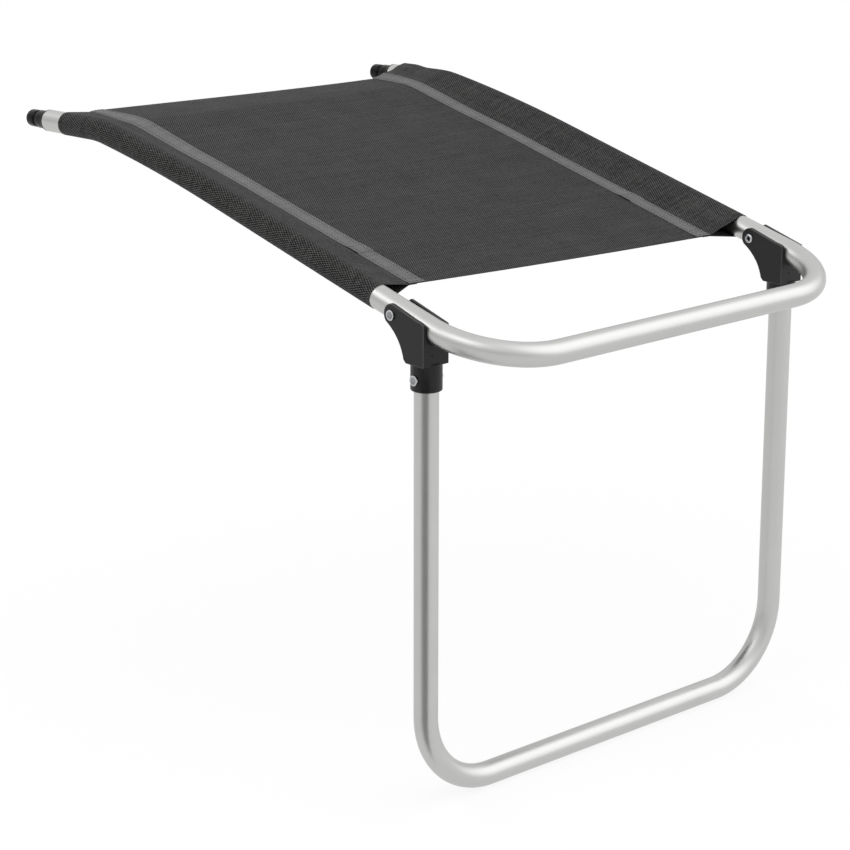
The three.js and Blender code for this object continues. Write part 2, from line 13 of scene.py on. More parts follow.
import bmesh
import bpy
import numpy as np
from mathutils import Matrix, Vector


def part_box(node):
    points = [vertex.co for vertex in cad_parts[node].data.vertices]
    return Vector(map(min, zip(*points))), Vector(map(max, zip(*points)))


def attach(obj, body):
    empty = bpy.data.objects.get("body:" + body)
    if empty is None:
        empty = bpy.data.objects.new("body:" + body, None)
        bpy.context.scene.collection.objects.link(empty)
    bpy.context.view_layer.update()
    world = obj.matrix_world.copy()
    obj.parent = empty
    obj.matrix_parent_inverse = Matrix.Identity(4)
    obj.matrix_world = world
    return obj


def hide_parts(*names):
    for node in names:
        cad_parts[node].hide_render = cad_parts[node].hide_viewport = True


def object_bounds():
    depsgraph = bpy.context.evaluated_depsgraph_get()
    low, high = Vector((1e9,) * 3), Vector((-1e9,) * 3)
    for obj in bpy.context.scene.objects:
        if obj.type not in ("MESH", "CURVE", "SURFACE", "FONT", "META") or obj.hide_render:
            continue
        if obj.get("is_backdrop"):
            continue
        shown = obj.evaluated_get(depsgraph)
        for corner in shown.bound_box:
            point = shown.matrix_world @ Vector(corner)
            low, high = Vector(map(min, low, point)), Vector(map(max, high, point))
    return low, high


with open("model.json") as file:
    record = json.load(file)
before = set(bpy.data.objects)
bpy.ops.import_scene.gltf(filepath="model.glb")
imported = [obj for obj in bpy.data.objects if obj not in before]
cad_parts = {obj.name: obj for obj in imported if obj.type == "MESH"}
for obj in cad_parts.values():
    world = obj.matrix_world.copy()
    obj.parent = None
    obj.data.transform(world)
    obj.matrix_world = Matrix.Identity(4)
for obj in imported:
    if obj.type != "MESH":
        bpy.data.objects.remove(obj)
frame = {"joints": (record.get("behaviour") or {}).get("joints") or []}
CAD_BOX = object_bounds()

Array = np.ndarray
Colour = tuple[float, float, float]
Point = tuple[float, float, float]

LOG = logging.getLogger("leg_rest")
SIDES = (("left", -1.0), ("right", 1.0))
WELD = 1e-6  # points closer than this are one
FIT_GAP = 0.0003  # left between pieces that touch
ROUND_SIDES = 64
RIM_STEPS = 5
SHARP = math.radians(35.0)  # faces that meet at more than this keep a sharp edge
CLOTH_SHARP = math.radians(60.0)
QUARTER = math.pi / 2.0
NEARLY_ALONG = 0.9  # share of a unit vector past which it counts as lying along an axis
NOISE_LOW = 0.3  # noise runs from about this to one minus this
NOISE_SPREAD = 2.5  # stretches that range to run from zero to one
X_AXIS = np.array([1.0, 0.0, 0.0])
Y_AXIS = np.array([0.0, 1.0, 0.0])
Z_AXIS = np.array([0.0, 0.0, 1.0])


class Body(Enum):
    """The two rigid bodies that the hinge joins."""

    SEAT = "top_frame"
    LEG = "leg_frame"


class Join(Enum):
    """What a second solid does to a first one."""

    ADD = "UNION"
    CUT = "DIFFERENCE"


class Slot(Enum):
    """The record's material slots."""

    ALUMINIUM = "frame_aluminium"
    BRACKET = "bracket_plastic"
    PLUG = "plug_plastic"
    RIVET = "rivet_steel"
    SEAT = "seat_mesh"
    SLEEVE = "sleeve_mesh"
    BAND = "seam_band"


# Points and meshes


def unit(vectors: Array) -> Array:
    """Vectors scaled to length one."""
    return vectors / np.linalg.norm(vectors, axis=-1, keepdims=True)


def smoothstep(value: Array | float, low: float, high: float) -> Array:
    """Zero below low, one above high, and 3t^2 - 2t^3 between them."""
    t = np.clip((np.asarray(value) - low) / (high - low), 0.0, 1.0)
    return t * t * (3.0 - 2.0 * t)


def mix(a: Array | float, b: Array | float, share: Array | float) -> Array:
    """A value that runs straight from a to b as share goes from 0 to 1."""
    return a + (b - a) * np.asarray(share)


def shares(steps: int) -> Array:
    """Even steps from zero to one, with both ends."""
    return np.linspace(0.0, 1.0, steps + 1)


def circle(radius: float, angle: Array) -> Array:
    """Points (radius * cos a, radius * sin a)."""
    return np.stack([radius * np.cos(angle), radius * np.sin(angle)], axis=-1)


def wheel(angle: Array, side: Array, up: Array) -> Array:
    """Vectors cos a * side + sin a * up."""
    return np.cos(angle) * side + np.sin(angle) * up


def paired(first: Array, second: Array) -> Array:
    """Two grids, made one shape, as the two values of each point."""
    return np.stack(np.broadcast_arrays(first, second), axis=-1)


def rounded(
    corners: Sequence[Sequence[float]], radii: Sequence[float], steps: int = RIM_STEPS
) -> Array:
    """Open line whose corners are arcs that touch both of their sides.

    An arc of radius r in a corner of half angle h starts r / tan h from the corner, and its
    centre lies r / sin h from it along the bisector.

    Args:
        corners: The line's points.
        radii: One radius for each point, zero at the ends and at a sharp corner.
        steps: Steps in each arc.

    Returns:
        The points of the rounded line.
    """
    points = np.asarray(corners, float)
    found = []
    for k, radius in enumerate(radii):
        if radius == 0.0:
            found.append(points[k : k + 1])
            continue
        back = unit(points[k - 1] - points[k])
        ahead = unit(points[k + 1] - points[k])
        half = math.acos(float(np.clip(back @ ahead, -1.0, 1.0))) / 2.0
        centre = points[k] + unit(back + ahead) * radius / math.sin(half)
        start = points[k] + back * radius / math.tan(half) - centre
        end = points[k] + ahead * radius / math.tan(half) - centre
        turn = math.pi - 2.0 * half
        t = shares(steps)[:, None]
        arc = start * np.sin((1.0 - t) * turn) + end * np.sin(t * turn)
        found.append(centre + arc / math.sin(turn))
    return np.concatenate(found)


class Surface:
    """Grids and flat loops of points that become one mesh."""

    def __init__(self) -> None:
        """Starts empty."""
        self.points: list[Array] = []
        self.places: list[Array] = []
        self.corners: list[Array] = []
        self.sizes: list[Array] = []
        self.count = 0

    def _add(self, points: Array, places: Array, corners: Array, sizes: Array) -> "Surface":
        """Adds points and faces.

        Args:
            points: Points by 3.
            places: Points by 2, their places on the flat cloth.
            corners: The faces' corners, as numbers of the given points, one face after another.
            sizes: How many corners each face has.

        Returns:
            This surface.
        """
        self.points.append(points)
        self.places.append(places)
        self.corners.append(self.count + corners)
        self.sizes.append(sizes)
        self.count += len(points)
        return self

    def grid(self, points: Array, places: Array | None = None) -> "Surface":
        """Adds a grid of four-sided faces.

        Args:
            points: Rows by columns by 3. Rows or columns that meet again repeat their points.
            places: Rows by columns by 2, the places on the flat cloth, in metres.

        Returns:
            This surface.
        """
        rows, columns = points.shape[:2]
        index = np.arange(rows * columns).reshape(rows, columns)
        quads = np.stack([index[:-1, :-1], index[:-1, 1:], index[1:, 1:], index[1:, :-1]], axis=-1)
        flat = np.zeros((rows, columns, 2)) if places is None else places
        return self._add(
            points.reshape(-1, 3), flat.reshape(-1, 2), quads.ravel(), np.full(quads.size // 4, 4)
        )

    def grids(self, points: Array) -> "Surface":
        """Adds many equal grids.

        Args:
            points: Copies by rows by columns by 3.

        Returns:
            This surface.
        """
        for one in points:
            self.grid(one)
        return self

    def loop(self, points: Array) -> "Surface":
        """Adds one flat face with the given outline."""
        count = len(points)
        return self._add(points, np.zeros((count, 2)), np.arange(count), np.array([count]))

    def sheet(self, high: Array, low: Array, flat: Array) -> "Surface":
        """Adds two faces of a cloth and the four strips that close its edges.

        Args:
            high: One face, rows by columns by 3.
            low: The other face.
            flat: Rows by columns by 2, the places on the flat cloth, in metres.

        Returns:
            This surface.
        """
        self.grid(high, flat).grid(low, flat)
        for take in (np.s_[0], np.s_[-1], np.s_[:, 0], np.s_[:, -1]):
            self.grid(np.stack([low[take], high[take]]), np.stack([flat[take], flat[take]]))
        return self

    def build(self, name: str, sharp: float = SHARP) -> bpy.types.Object:
        """Welds what meets, turns the faces outwards and links the object.

        Args:
            name: The piece's name.
            sharp: Faces that meet at more than this angle keep a sharp edge.

        Returns:
            The object, at the origin.
        """
        corners, sizes = np.concatenate(self.corners), np.concatenate(self.sizes)
        places = np.concatenate(self.places)[corners]
        mesh = bpy.data.meshes.new(name)
        mesh.vertices.add(self.count)
        mesh.vertices.foreach_set("co", np.concatenate(self.points).astype(np.float32).ravel())
        mesh.loops.add(len(corners))
        mesh.loops.foreach_set("vertex_index", corners.astype(np.int32))
        mesh.polygons.add(len(sizes))
        mesh.polygons.foreach_set("loop_start", (np.cumsum(sizes) - sizes).astype(np.int32))
        mesh.uv_layers.new(name="Cloth").uv.foreach_set("vector", places.astype(np.float32).ravel())
        mesh.update(calc_edges=True)
        weld(mesh)
        shade(mesh, sharp)
        made = bpy.data.objects.new(name, mesh)
        bpy.context.scene.collection.objects.link(made)
        return made


def weld(mesh: bpy.types.Mesh) -> None:
    """Merges points that coincide, drops faces without area and turns the rest outwards.

    Args:
        mesh: Changed in place.
    """
    work = bmesh.new()
    work.from_mesh(mesh)
    bmesh.ops.remove_doubles(work, verts=work.verts, dist=WELD)
    bmesh.ops.dissolve_degenerate(work, edges=work.edges, dist=WELD)
    bmesh.ops.recalc_face_normals(work, faces=work.faces)
    work.to_mesh(mesh)
    work.free()


def shade(mesh: bpy.types.Mesh, sharp: float) -> None:
    """Smooth faces, apart from edges that turn by more than the given angle."""
    mesh.polygons.foreach_set("use_smooth", np.ones(len(mesh.polygons), bool))
    mesh.set_sharp_from_angle(angle=sharp)


def spun(profile: Array, centre: Array, axis: Array) -> Array:
    """Grid of a profile turned about an axis.

    The point at (radius, along) and angle a is centre + along * axis + radius * (cos a, sin a).

    Args:
        profile: Points as radius and distance along the axis.
        centre: A point of the axis.
        axis: The axis's direction.

    Returns:
        Profile points by ROUND_SIDES + 1 by 3.
    """
    axis = unit(np.asarray(axis, float))
    across = unit(np.cross(axis, X_AXIS if abs(axis[0]) < NEARLY_ALONG else Y_AXIS))
    angle = np.linspace(0.0, 2.0 * np.pi, ROUND_SIDES + 1)[:, None]
    ring = wheel(angle, across, np.cross(axis, across))
    return centre + profile[:, None, 1:] * axis + profile[:, None, :1] * ring[None]


def rimmed(surface: Surface, outline: Array, width: float, edge: float) -> None:
    """Adds a plate with rounded rims, its outline in Y and Z carried along X.

    Its second cloth place says how strongly a point takes the rims' painted highlight: sin 2a,
    where a is the angle round a rim, so one in the middle of the rim and zero on the plate's faces.

    Args:
        surface: Takes the plate.
        outline: Closed outline, counter-clockwise, without its first point repeated.
        width: The plate's thickness along X, centred on zero.
        edge: Radius of the rims' rounding.
    """
    ahead = unit(np.roll(outline, -1, axis=0) - outline)
    bisector = unit(ahead + np.roll(ahead, 1, axis=0))
    inwards = np.stack([-bisector[:, 1], bisector[:, 0]], axis=1)
    turn = np.linspace(0.0, QUARTER, RIM_STEPS)
    depth = edge * (1.0 - np.sin(turn))
    place = -width / 2.0 + edge * (1.0 - np.cos(turn))
    depth = np.concatenate([depth, depth[::-1]])
    place = np.concatenate([place, -place[::-1]])
    rows = outline[None] + depth[:, None, None] * inwards[None]
    points = np.concatenate([np.broadcast_to(place[:, None, None], (*rows.shape[:2], 1)), rows], axis=2)
    points = np.concatenate([points, points[:, :1]], axis=1)
    # strength of the painted highlight, greatest in the middle of each rim
    rim_highlight = np.concatenate([np.sin(2.0 * turn), np.sin(2.0 * turn)[::-1]])
    surface.grid(points, paired(np.zeros(points.shape[1]), rim_highlight[:, None]))
    surface.loop(points[0])
    surface.loop(points[-1])


def combine(base: bpy.types.Object, other: bpy.types.Object, join: Join) -> None:
    """Joins or cuts base with other, which is used up.

    Args:
        base: Keeps the result.
        other: A closed solid.
        join: What other does to base.
    """
    modifier = base.modifiers.new(join.name, "BOOLEAN")
    modifier.object, modifier.operation, modifier.solver = other, join.value, "EXACT"
    seen = base.evaluated_get(bpy.context.evaluated_depsgraph_get())
    made = bpy.data.meshes.new_from_object(seen)
    base.modifiers.clear()
    old, base.data = base.data, made
    bpy.data.meshes.remove(old)
    bpy.data.meshes.remove(other.data)


# Shader nodes


class Value:
    """A shader socket whose operators add Math nodes."""

    def __init__(self, tree: "Tree", socket: bpy.types.NodeSocket) -> None:
        """Wraps one output socket of the tree."""
        self.tree, self.socket = tree, socket

    def math(self, operation: str, *others: "Value | float") -> "Value":
        """One Math node on this value and others."""
        inputs = dict(enumerate([self, *others]))
        return self.tree.node("ShaderNodeMath", {"operation": operation}, inputs)

    def __add__(self, other: "Value | float") -> "Value":
        """Sum."""
        return self.math("ADD", other)

    __radd__ = __add__

    def __mul__(self, other: "Value | float") -> "Value":
        """Product."""
        return self.math("MULTIPLY", other)

    __rmul__ = __mul__

    def __sub__(self, other: "Value | float") -> "Value":
        """Difference."""
        return self.math("SUBTRACT", other)

    def __rsub__(self, other: float) -> "Value":
        """Difference from a number."""
        return self * -1.0 + other

    def __truediv__(self, other: "Value | float") -> "Value":
        """Quotient."""
        return self.math("DIVIDE", other)

    def clamp(self) -> "Value":
        """Kept between 0 and 1."""
        return self.math("MAXIMUM", 0.0).math("MINIMUM", 1.0)


class Tree:
    """Nodes of a material or a world, made from Python expressions."""

    def __init__(self, owner: bpy.types.Material | bpy.types.World) -> None:
        """Starts from the owner's own shader.

        Args:
            owner: A new material or world.
        """
        owner.use_nodes = True
        self.owner = owner
        self.nodes, self.links = owner.node_tree.nodes, owner.node_tree.links
        self.shader = next(n for n in self.nodes if n.type in {"BSDF_PRINCIPLED", "BACKGROUND"})

    @classmethod
    def named(cls, name: str) -> "Tree":
        """A new material's tree."""
        return cls(bpy.data.materials.new(name))

    def put(self, socket: bpy.types.NodeSocket, value: object) -> None:
        """Links a value to a socket, or sets it there.

        Args:
            socket: An input socket.
            value: A value of this tree, or a plain number, colour or vector.
        """
        if isinstance(value, Value):
            self.links.new(value.socket, socket)
        else:
            socket.default_value = value

    def node(self, kind: str, settings: dict, inputs: dict, output: int | str = 0) -> Value:
        """Adds any node.

        Args:
            kind: Blender's node type.
            settings: The node's own properties, set first.
            inputs: Values or links by socket name or number.
            output: The socket to return.

        Returns:
            The output as a value.
        """
        made = self.nodes.new(kind)
        for key, value in settings.items():
            setattr(made, key, value)
        for key, value in inputs.items():
            self.put(made.inputs[key], value)
        return Value(self, made.outputs[output])

    def principled(self, **inputs: object) -> None:
        """Sets or links the shader's sockets, named with underscores for spaces."""
        for key, value in inputs.items():
            self.put(self.shader.inputs[key.replace("_", " ").title().replace("Ior", "IOR")], value)

    def place(self) -> Value:
        """Object coordinates in metres."""
        return self.node("ShaderNodeTexCoord", {}, {}, "Object")

    def cloth(self) -> tuple[Value, Value]:
        """Reads the piece's places on the flat cloth.

        Returns:
            Places across and along, in metres.
        """
        uv = self.node("ShaderNodeUVMap", {"uv_map": "Cloth"}, {})
        split = self.node("ShaderNodeSeparateXYZ", {}, {0: uv})
        return split, Value(self, split.socket.node.outputs[1])

    def vector(self, x: Value | float, y: Value | float) -> Value:
        """A vector from two values, with zero as the third."""
        return self.node("ShaderNodeCombineXYZ", {}, {0: x, 1: y})

    def step(self, value: Value, low: float, high: float) -> Value:
        """Zero below low, one above high, smooth between."""
        settings = {"interpolation_type": "SMOOTHSTEP"}
        return self.node("ShaderNodeMapRange", settings, {0: value, 1: low, 2: high})

    def noise(self, at: Value, scale: float, detail: float) -> Value:
        """Smooth noise from about 0.3 to 0.7, with scale features in a metre."""
        return self.node("ShaderNodeTexNoise", {}, {"Vector": at, "Scale": scale, "Detail": detail})

    def blend(self, share: Value | float, a: object, b: object) -> Value:
        """Colour between a and b, by the node's own colour sockets."""
        settings = {"data_type": "RGBA", "clamp_factor": True}
        return self.node("ShaderNodeMix", settings, {0: share, 6: a, 7: b}, 2)

    def bump(self, height: Value, depth: float) -> Value:
        """Normal for a height from 0 to 1 that stands for depth metres."""
        return self.node("ShaderNodeBump", {}, {"Height": height, "Distance": depth, "Strength": 1.0})


def linear(red: float, green: float, blue: float) -> tuple[float, float, float, float]:
    """Scene colour of a display colour given from 0 to 255, by the power part of sRGB's curve."""
    return (*(float(((c / 255.0 + 0.055) / 1.055) ** 2.4) for c in (red, green, blue)), 1.0)


# Finishes


@dataclass(frozen=True)
class SatinMetal:
    """Drawn and anodised tube, or zinc-plated steel, with fine lengthwise streaks."""

    name: str
    light: Colour
    dark: Colour
    roughness: float
    streaks_per_metre: float = 2600.0
    streak_squeeze: float = 0.02
    streak_depth: float = 0.0000006
    streak_dulling: float = 0.04
    clouds_per_metre: float = 28.0
    cloud_dulling: float = 0.06
    # painted shade in a rivet head's dish: its radius, where it starts to fade, and its colour
    dish_shade_radius: float = 0.0
    dish_shade_fade: float = 0.8
    dish_shade_colour: Colour = (142.0, 144.0, 146.0)

    def material(self) -> bpy.types.Material:
        """Metal whose colour, gloss and surface vary with streaks and faint clouding.

        A turned piece holds its radius in the second cloth place, and within the dish's radius it
        takes a darker colour, a painted shade in the rivet head's dish.

        Returns:
            A new material.
        """
        tree = Tree.named(self.name)
        across, along = tree.cloth()
        place = tree.vector(across, along * self.streak_squeeze)
        streaks = tree.noise(place, self.streaks_per_metre, 3.0)
        clouds = tree.noise(tree.place(), self.clouds_per_metre, 3.0)
        share = (streaks * 0.5 + clouds * 0.5 - NOISE_LOW) * NOISE_SPREAD
        colour = tree.blend(share.clamp(), linear(*self.dark), linear(*self.light))
        # painted shade: darker within the dish of a rivet's head
        if self.dish_shade_radius:
            bright = tree.step(along, self.dish_shade_radius * self.dish_shade_fade, self.dish_shade_radius)
            colour = tree.blend(bright, linear(*self.dish_shade_colour), colour)
        dulling = clouds * self.cloud_dulling + streaks * self.streak_dulling
        mean = (self.cloud_dulling + self.streak_dulling) / 2.0
        tree.principled(
            base_color=colour,
            metallic=1.0,
            roughness=dulling + self.roughness - mean,
            normal=tree.bump(streaks, self.streak_depth),
        )
        return tree.owner


@dataclass(frozen=True)
class MouldedPlastic:
    """Moulded plastic with a fine grain and a painted highlight along its rims."""

    name: str
    light: Colour
    dark: Colour
    roughness: float
    gloss: float = 0.29
    grain_per_metre: float = 2400.0
    grain_depth: float = 0.00003
    grain_dulling: float = 0.1
    clouds_per_metre: float = 60.0
    cloud_dulling: float = 0.12
    cloud_contrast: float = 1.4
    # painted highlight along the rims: its patchiness with the clouds, its least strength and its colour
    rim_highlight_contrast: float = 1.2
    rim_highlight_least: float = 0.1
    rim_highlight_colour: Colour = (74.0, 74.0, 75.0)

    def material(self) -> bpy.types.Material:
        """Plastic with grain in its surface and slight clouding in its gloss.

        Returns:
            A new material.
        """
        tree = Tree.named(self.name)
        place = tree.place()
        grain = tree.noise(place, self.grain_per_metre, 2.0)
        clouds = tree.noise(place, self.clouds_per_metre, 3.0)
        share = clouds * self.cloud_contrast - (self.cloud_contrast - 1.0) / 2.0
        colour = tree.blend(share.clamp(), linear(*self.dark), linear(*self.light))
        # painted highlight: the rims are blended towards a paler colour, patchy with the clouds
        rim_highlight = (tree.cloth()[1] * (clouds * self.rim_highlight_contrast + self.rim_highlight_least)).clamp()
        dulling = clouds * self.cloud_dulling + grain * self.grain_dulling
        mean = (self.cloud_dulling + self.grain_dulling) / 2.0
        tree.principled(
            base_color=tree.blend(rim_highlight, colour, linear(*self.rim_highlight_colour)),
            specular_ior_level=self.gloss,
            roughness=dulling + self.roughness - mean,
            normal=tree.bump(grain, self.grain_depth),
        )
        return tree.owner


@dataclass(frozen=True)
class WovenMesh:
    """Coated yarn woven over one, under one.

    A lengthwise yarn's height is a hump across it times cos(pi (along - 1/2 + its number)), the
    crosswise yarn's is the same with the signs swapped, and the higher one shows. Yarns and
    crossings differ a little in tone, and slubs are long thick places in the crosswise yarns.
    """

    name: str
    light: Colour
    dark: Colour
    pitch_across: float
    pitch_along: float
    yarn_depth: float = 0.0002
    yarn_spread: float = 0.25
    roughness: float = 0.6
    # painted sheen on lengthwise yarns where they lie on top
    lift: float = 0.42
    gloss: float = 0.1
    base_tone: float = 0.16
    # painted shade where the weave lies low, lighter on its high places
    relief_shade: float = 0.3
    height_gloss: float = 0.12
    hollow_dulling: float = 0.1
    row_share: float = 0.6
    clouds_per_metre: float = 30.0
    cloud_spread: float = 0.3
    slubs_per_metre: float = 420.0
    slub_squeeze: float = 0.05
    slub_spread: float = 0.5

    def material(self) -> bpy.types.Material:
        """Woven cloth with painted shade where the weave lies low, and a painted sheen on the
        lengthwise yarns where they lie on top.

        Returns:
            A new material.
        """
        tree = Tree.named(self.name)
        across, along = (v / p for v, p in zip(tree.cloth(), (self.pitch_across, self.pitch_along)))
        column, row = across.math("FLOOR"), along.math("FLOOR")
        warp = self._hump(across) * ((along - 0.5 + column) * math.pi).math("COSINE")
        weft = self._hump(along) * ((across - 0.5 + row) * math.pi).math("COSINE") * -1.0
        height = warp.math("MAXIMUM", weft).clamp()
        yarn = self._random(tree, column, 0.0) * (1.0 - self.row_share)
        yarn = yarn + self._random(tree, 0.0, row) * self.row_share
        crossing = self._random(tree, column, row)
        across, along = tree.cloth()
        clouds = tree.noise(tree.vector(across, along), self.clouds_per_metre, 3.0)
        place = tree.vector(across * self.slub_squeeze, along)
        slubs = tree.noise(place, self.slubs_per_metre, 1.0)
        tone = (yarn - 0.5) * self.yarn_spread + (crossing - 0.5) * self.yarn_spread
        tone = tone + (clouds - 0.5) * self.cloud_spread + (slubs - 0.5) * self.slub_spread
        # painted shade and sheen: high places of the weave lighter, lengthwise yarns on top lighter
        # still
        share = height * self.relief_shade + (warp - weft) * self.lift + tone + self.base_tone
        tree.principled(
            base_color=tree.blend(share.clamp(), linear(*self.dark), linear(*self.light)),
            specular_ior_level=self.gloss,
            roughness=self.roughness + self.hollow_dulling - height * self.height_gloss,
            normal=tree.bump(height, self.yarn_depth),
        )
        return tree.owner

    @staticmethod
    def _hump(value: Value) -> Value:
        """One in the middle of each yarn and zero between yarns."""
        side = value.math("FRACT") * 2.0 - 1.0
        return 1.0 - side * side

    @staticmethod
    def _random(tree: Tree, x: Value | float, y: Value | float) -> Value:
        """A random number from 0 to 1 for each pair of whole numbers."""
        settings = {"noise_dimensions": "2D"}
        return tree.node("ShaderNodeTexWhiteNoise", settings, {"Vector": tree.vector(x, y)})


ALUMINIUM = SatinMetal("satin_aluminium", (194, 194, 193), (188, 188, 186), 0.37)
# the rivet heads' dishes are darker here, a painted shade
ZINC = SatinMetal("zinc_steel", (196, 198, 200), (176, 179, 182), 0.2, dish_shade_radius=0.0037)
BRACKET_PLASTIC = MouldedPlastic("bracket_plastic", (17, 17, 18), (11, 11, 12), 0.4)
PLUG_PLASTIC = MouldedPlastic("plug_plastic", (16, 12, 11), (6, 5, 5), 0.24, 0.11, 1800.0, 0.00001)
THREAD = MouldedPlastic("sewing_thread", (40, 40, 40), (24, 24, 24), 0.6, 0.1)
SEAT_MESH = WovenMesh("seat_mesh", (85, 85, 85), (0, 0, 0), 0.00117, 0.0023, lift=0.5)
# its lighter colour is a little darker than the seat mesh's, as painted shade on the sleeves' steep
# sides
SLEEVE_MESH = replace(
    SEAT_MESH, name="sleeve_mesh", light=(82, 82, 81), yarn_spread=0.5, lift=0.52
)
BAND_TAPE = WovenMesh(
    "band_tape",
    (125, 125, 125),
    (82, 82, 82),
    pitch_across=0.0009,
    pitch_along=0.0012,
    yarn_depth=0.00012,
    yarn_spread=0.3,
    roughness=0.55,
    lift=0.25,
    gloss=0.12,
)


def dress(
    piece: bpy.types.Object, body: Body, slot: Slot, material: bpy.types.Material, *nodes: str
) -> bpy.types.Object:
    """Gives a piece its material and body, and hides the solids that it stands for.

    Args:
        piece: The finished object.
        body: What it moves with.
        slot: The record's material slot. Not used.
        material: Its look.
        *nodes: Names of the solids that it replaces.

    Returns:
        The same piece.
    """
    piece.data.materials.clear()
    piece.data.materials.append(material)
    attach(piece, body.value)
    if nodes:
        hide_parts(*nodes)
    LOG.info("%s: %d faces, rides on %s", piece.name, len(piece.data.polygons), body.value)
    return piece


# The rails' course and the tubes


@dataclass(frozen=True)
class RailCourse:
    """A rail's axis in the Y-Z plane, from the legs back to the tube's end."""

    spacing: float = 0.456
    slope: float = math.radians(12.7)
    straight: float = 0.309
    sweep: float = 0.182
    sweep_radius: float = 2.150
    knee_radius: float = 0.146
    knee_angle: float = math.radians(10.0)
    tail: float = 0.076
    pivot_setback: float = 0.0305

    @property
    def runs(self) -> tuple[tuple[float, float], ...]:
        """The rail's runs, from the legs back.

        Returns:
            Length of each run and the angle that it turns down.
        """
        return (
            (self.straight, 0.0),
            (self.sweep, self.sweep / self.sweep_radius),
            (self.knee_radius * self.knee_angle, self.knee_angle),
            (self.tail, 0.0),
        )

    @property
    def length(self) -> float:
        """From the legs to the tube's rear end."""
        return sum(length for length, _ in self.runs)

    @property
    def offset(self) -> float:
        """From the middle of the leg rest to a rail's axis."""
        return self.spacing / 2.0

    def local(self, along: Array | float) -> tuple[Array, Array, Array]:
        """Places on the rail's axis, measured from that axis at the legs.

        Within a run, a step that turns by an angle moves along its chord, which is
        step * sin(turn / 2) / (turn / 2) long and points half a turn down.

        Args:
            along: Distances behind the legs.

        Returns:
            Y, Z and the heading, an angle above level.
        """
        along = np.asarray(along, float)
        y, z, heading, start = 0.0, 0.0, self.slope, 0.0
        for k, (length, turn) in enumerate(self.runs):
            low = -np.inf if k == 0 else 0.0
            high = np.inf if k == len(self.runs) - 1 else length
            step = np.clip(along - start, low, high)
            turned = turn * step / length
            chord = step * np.sinc(turned / (2.0 * np.pi))
            middle = heading - turned / 2.0
            y, z = y + chord * np.cos(middle), z + chord * np.sin(middle)
            heading = heading - turned
            start += length
        return y, z, heading

    @property
    def datum(self) -> Array:
        """The rail axis at the legs, found from the hinge that sits behind it."""
        y, z, _ = self.local(self.pivot_setback)
        return np.array(frame["joints"][0]["pos_m"]) - np.array([0.0, float(y), float(z)])

    def point(self, x: Array, along: Array, rise: Array | float = 0.0) -> Array:
        """Points beside or above a rail.

        Args:
            x: Distances from the middle of the leg rest.
            along: Distances behind the legs.
            rise: Heights above the rail's axis, square to it.

        Returns:
            The points, in the frame's own coordinates.
        """
        x, along, rise = np.broadcast_arrays(x, along, rise)
        y, z, heading = self.local(along)
        local = np.stack([x, y - rise * np.sin(heading), z + rise * np.cos(heading)], axis=-1)
        return local + self.datum

    def direction(self, along: float) -> Array:
        """Unit vector towards the chair."""
        heading = float(self.local(along)[2])
        return np.array([0.0, math.cos(heading), math.sin(heading)])

    def upright(self, along: float) -> Array:
        """Unit vector square to the rail, upwards."""
        heading = float(self.local(along)[2])
        return np.array([0.0, -math.sin(heading), math.cos(heading)])


class Route:
    """A tube's course: points, tangents and up vectors, run by run.

    A run that turns by an angle moves along its chord, which is length * sin(turn / 2) /
    (turn / 2) long and points half a turn round.
    """

    BEND_STEP = math.radians(3.0)

    def __init__(self, start: Array, tangent: Array, up: Array) -> None:
        """Starts at a point with a direction and a vector square to it."""
        self.points, self.tangents, self.ups = start[None], tangent[None], up[None]

    def run(self, length: float, turn: float = 0.0, axis: Array = Z_AXIS) -> "Route":
        """Adds a straight run, or an arc that turns about an axis.

        Args:
            length: Length along the tube's axis.
            turn: Angle of the whole arc.
            axis: Unit vector that the arc turns about.

        Returns:
            This route.
        """
        count = max(1, math.ceil(abs(turn) / self.BEND_STEP))
        share = np.arange(1, count + 1)[:, None] / count
        angle = turn * share
        chord = length * share * np.sinc(angle / (2.0 * np.pi))
        middle = self._turned(self.tangents[-1], axis, angle / 2.0)
        tangents = self._turned(self.tangents[-1], axis, angle)
        ups = self._turned(self.ups[-1], axis, angle)
        self.points = np.concatenate([self.points, self.points[-1] + chord * middle])
        self.tangents = np.concatenate([self.tangents, tangents])
        self.ups = np.concatenate([self.ups, ups])
        return self

    @staticmethod
    def _turned(vector: Array, axis: Array, angle: Array) -> Array:
        """A vector turned about an axis by each angle, by Rodrigues' formula."""
        across, lengthwise = np.cross(axis, vector), axis * (axis @ vector)
        return vector * np.cos(angle) + across * np.sin(angle) + lengthwise * (1.0 - np.cos(angle))


